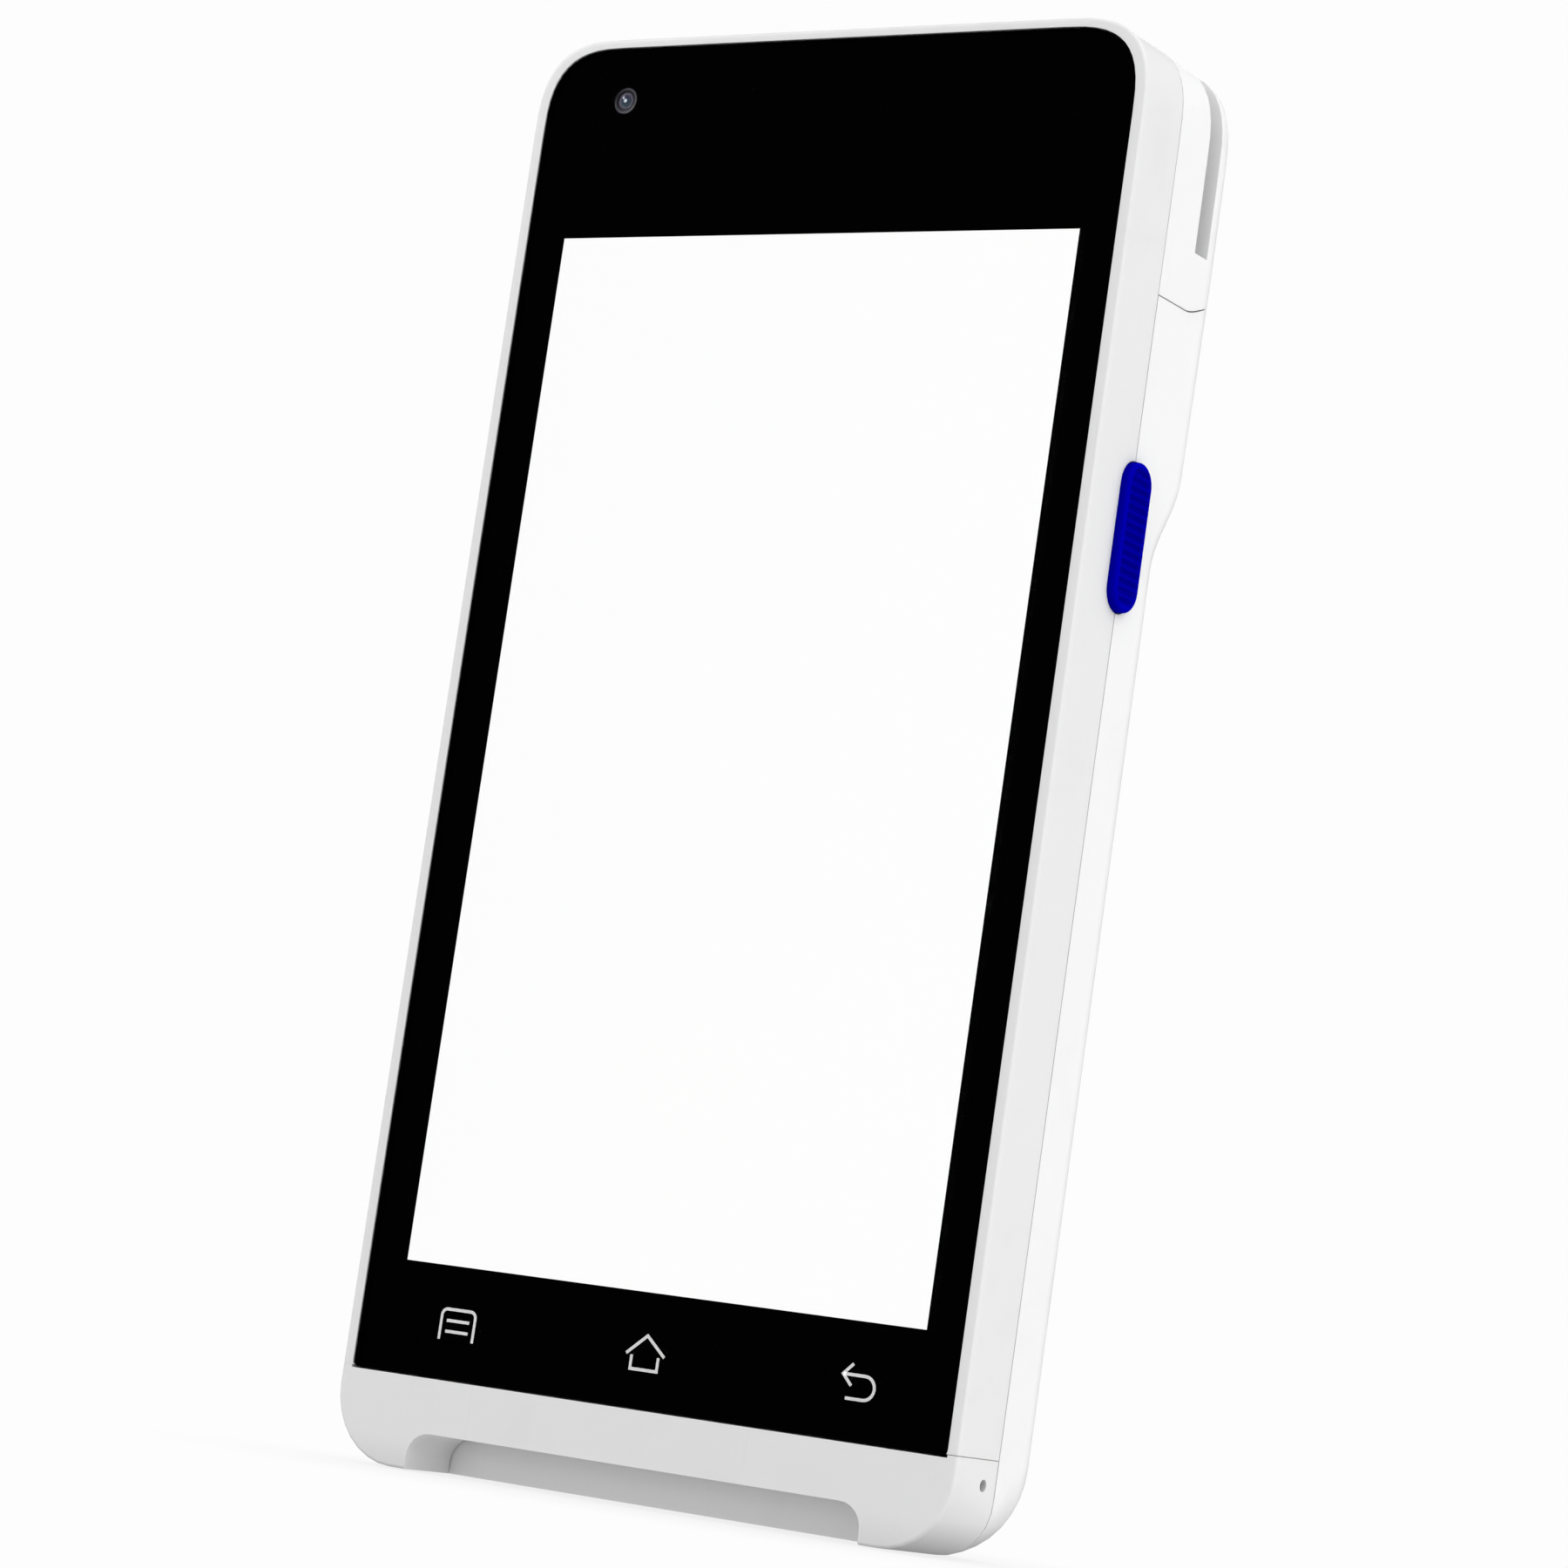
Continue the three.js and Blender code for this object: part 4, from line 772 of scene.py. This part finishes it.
def lens_coating_painted_glint(name, centre, radius):
    """Dark lens glass with a painted glint, a pale glowing spot in its middle, and a coating that is violet
    above and teal below.
    """
    made, tree, shader = new_material(name)
    spot = place_in_mm(tree)
    home = tuple(value / MM for value in centre)
    away = add(tree, "ShaderNodeVectorMath", {0: spot, 1: home}, operation="SUBTRACT").outputs[0]
    axes = add(tree, "ShaderNodeSeparateXYZ", {0: away}).outputs
    up = add(tree, "ShaderNodeMapRange", {0: axes["Z"], 1: -radius, 2: radius}).outputs[0]
    round_x = math_node(tree, "MULTIPLY", axes["X"], axes["X"])
    round_z = math_node(tree, "MULTIPLY", axes["Z"], axes["Z"])
    out = math_node(tree, "SQRT", math_node(tree, "ADD", round_x, round_z))
    rim = add(tree, "ShaderNodeMapRange", {0: out, 1: 0.35 * radius, 2: 0.95 * radius}).outputs[0]
    edge = blend_colours(tree, up, (0.2, 0.34, 0.4, 1), (0.2, 0.17, 0.34, 1))
    coated = blend_colours(tree, rim, (0.02, 0.04, 0.1, 1), edge)
    # Painted glint: the middle of the lens is pale and glows, in place of a highlight.
    middle = add(tree, "ShaderNodeMapRange", {0: out, 1: 0.42 * radius, 2: 0.2 * radius}).outputs[0]
    tone = blend_colours(tree, middle, coated, (0.75, 0.85, 0.95, 1))
    tree.links.new(tone, shader.inputs["Base Color"])
    shine = blend_colours(tree, middle, (0, 0, 0, 1), (0.8, 0.9, 1, 1))
    tree.links.new(shine, shader.inputs["Emission Color"])
    shader.inputs["Emission Strength"].default_value = 0.5
    grain = group(tree, GRAIN, Grain_size=0.05)
    polish = math_node(tree, "MULTIPLY", grain.outputs["Gloss change"], 0.04)
    tree.links.new(math_node(tree, "ADD", polish, 0.06, clamp=True), shader.inputs["Roughness"])
    shader.inputs["Coat Weight"].default_value = 1.0
    shader.inputs["Coat Roughness"].default_value = 0.02
    bump(tree, shader, grain.outputs["Height"], 0.05, 0.001)
    return made


def camera_eye(prefix, centre, facing, radius):
    """The rings and the domed lens that show through a camera's window, out to a radius in millimetres."""
    outer = tinted_ring(prefix + "_trim_finish", (0.08, 0.072, 0.11), 0.4)
    shade = tinted_ring(prefix + "_shade_finish", (0.014, 0.012, 0.022), 0.5)
    inner = tinted_ring(prefix + "_iris_finish", (0.2, 0.18, 0.3), 0.35)
    trim = [(0.8, 0.03), (0.84, -0.02), (0.93, -0.02), (1.0, 0.06), (1.0, 0.2), (0.8, 0.2)]
    well = [(0.62, 0.16), (0.8, 0.05), (0.8, 0.22), (0.62, 0.22)]
    iris = [(0.42, 0.1), (0.47, 0.04), (0.58, 0.04), (0.63, 0.12), (0.63, 0.24), (0.42, 0.24)]
    for part, profile, finish in (("trim", trim, outer), ("shade", well, shade), ("iris", iris, inner)):
        ring = [(share * radius, depth) for share, depth in profile]
        turned(f"{prefix}_{part}_ring", ring, centre, facing, finish)
    coating = lens_coating_painted_glint(prefix + "_coating_painted_glint", centre, 0.43 * radius)
    lens = dome(0.42 * radius, 0.07 * radius, 0.2)
    return turned(prefix + "_lens", lens, centre, facing, coating)


def front_eye():
    """The front camera behind its opening in the border print."""
    front = Vector((LENS_CENTRE.x, PRINT_FRONT + FRONT_EYE_DEPTH * MM, LENS_CENTRE.z))
    lens = camera_eye("front_eye", front, -1, CAMERA_APERTURE / 2)
    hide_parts("front_camera_lens")


def rear_eye():
    """The rear camera, with a printed ring on the back of its window."""
    low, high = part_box("rear_camera_window")
    behind = (low + high) / 2
    behind.y = low.y - PRINT_GAP * MM
    inside, outside = REAR_EYE["print_inside"], REAR_EYE["print_outside"]
    ring = [(inside, 0.0), (outside, 0.0), (outside, PRINT_THICKNESS), (inside, PRINT_THICKNESS)]
    turned("rear_window_print", ring, behind, 1, INK_BLACK)
    camera_eye("rear_eye", behind - Vector((0, REAR_EYE["depth"] * MM, 0)), 1, REAR_EYE["radius"])


front_eye()
rear_eye()


# ---- Studio ----

BACKDROP = 0.982
WALLS = {"level": 1.78, "front_drop": 0.9, "right_gain": 0.3, "top_gain": -0.2, "in_reflections": 0.008}
FLOOR = {"half_size": 6, "clearance": 0.0002, "glow": 0.75, "shadow": 0.86, "shadow_reach": 0.03}
LOOK_FROM = Vector((0.27947, -0.42039, 0.01581))
LOOK_AT = Vector((0.00724, -0.01105, 0.07915))
ROLL = math.radians(8.27)
FOCAL_LENGTH = 104.87


def studio_camera():
    data = bpy.data.cameras.new("camera")
    data.lens = FOCAL_LENGTH
    data.sensor_width = 36
    data.clip_start = 0.01
    data.clip_end = 20
    camera = bpy.data.objects.new("camera", data)
    scene.collection.objects.link(camera)
    camera.location = LOOK_FROM
    camera.rotation_mode = "QUATERNION"
    facing = (LOOK_AT - LOOK_FROM).to_track_quat("-Z", "Y")
    camera.rotation_quaternion = facing @ Quaternion((0, 0, 1), ROLL)
    scene.camera = camera


def seen_as(tree, glow):
    """The glow of the studio: the backdrop's own white to the eye, and nearly dark in reflections."""
    ray = add(tree, "ShaderNodeLightPath").outputs
    mirrored = math_node(tree, "MAXIMUM", ray["Is Glossy Ray"], ray["Is Transmission Ray"])
    faint = math_node(tree, "MULTIPLY", glow, WALLS["in_reflections"])
    lit = add(tree, "ShaderNodeMix", {0: mirrored, 2: glow, 3: faint}).outputs[0]
    return add(tree, "ShaderNodeMix", {0: ray["Is Camera Ray"], 2: lit, 3: BACKDROP}).outputs[0]


def studio_world():
    """White round about: less light from the front, the back and above, and more from the right."""
    world = bpy.data.worlds.new("studio")
    world.use_nodes = True
    scene.world = world
    tree = world.node_tree
    tree.nodes.clear()
    towards = add(tree, "ShaderNodeTexCoord").outputs["Generated"]
    axes = add(tree, "ShaderNodeSeparateXYZ", {0: towards}).outputs
    depth = math_node(tree, "ABSOLUTE", axes["Y"])
    dimmed = math_node(tree, "MULTIPLY", depth, WALLS["front_drop"])
    fill = math_node(tree, "SUBTRACT", WALLS["level"], dimmed)
    fill = math_node(tree, "ADD", fill, math_node(tree, "MULTIPLY", axes["X"], WALLS["right_gain"]))
    fill = math_node(tree, "ADD", fill, math_node(tree, "MULTIPLY", axes["Z"], WALLS["top_gain"]))
    seen = seen_as(tree, fill)
    light = add(tree, "ShaderNodeBackground", {"Color": (1, 1, 1, 1), "Strength": seen})
    out = add(tree, "ShaderNodeOutputWorld")
    tree.links.new(light.outputs[0], out.inputs["Surface"])


def studio_floor():
    """A plain white floor that glows softly, dims a little under the part as a painted shadow, and is clear
    from below.
    """
    work = bmesh.new()
    bmesh.ops.create_grid(work, x_segments=8, y_segments=8, size=FLOOR["half_size"])
    mesh = bpy.data.meshes.new("floor")
    work.to_mesh(mesh)
    work.free()
    floor = bpy.data.objects.new("floor", mesh)
    scene.collection.objects.link(floor)
    floor.location.z = -FLOOR["clearance"]
    made = bpy.data.materials.new("floor_paper")
    made.use_nodes = True
    tree = made.node_tree
    tree.nodes.clear()
    # Painted shadow: the floor's glow dims where the part is near.
    near = add(tree, "ShaderNodeAmbientOcclusion", {"Distance": FLOOR["shadow_reach"]})
    dim = add(tree, "ShaderNodeMapRange", {0: near.outputs["AO"], 3: FLOOR["shadow"], 4: 1.0}).outputs[0]
    white = add(tree, "ShaderNodeValue")
    white.outputs[0].default_value = FLOOR["glow"]
    glow = seen_as(tree, white.outputs[0])
    paper = add(tree, "ShaderNodeEmission", {"Strength": math_node(tree, "MULTIPLY", glow, dim)})
    side = add(tree, "ShaderNodeNewGeometry").outputs["Backfacing"]
    clear = add(tree, "ShaderNodeBsdfTransparent")
    mix = add(tree, "ShaderNodeMixShader", {0: side, 1: paper.outputs[0], 2: clear.outputs[0]})
    out = add(tree, "ShaderNodeOutputMaterial")
    tree.links.new(mix.outputs[0], out.inputs["Surface"])
    mesh.materials.append(made)


def reflection_card(name, towards, distance, size, power):
    """A soft light that shows only in reflections, aimed at the part."""
    data = bpy.data.lights.new(name, "AREA")
    data.shape = "DISK"
    data.size = size
    data.energy = power
    card = bpy.data.objects.new(name, data)
    scene.collection.objects.link(card)
    aim = (CAD_BOX[0] + CAD_BOX[1]) / 2
    direction = Vector(towards).normalized()
    card.location = aim + direction * distance
    card.rotation_mode = "QUATERNION"
    card.rotation_quaternion = (-direction).to_track_quat("-Z", "Y")
    card.visible_diffuse = False
    card.visible_camera = False


studio_camera()
studio_world()
studio_floor()
reflection_card("left_card", (-0.82, -0.5, 0.6), 0.6, 0.1, 1.2)
reflection_card("rear_card", (-0.5, 0.8, 0.5), 0.8, 0.3, 1.0)
scene.view_settings.view_transform = "Standard"
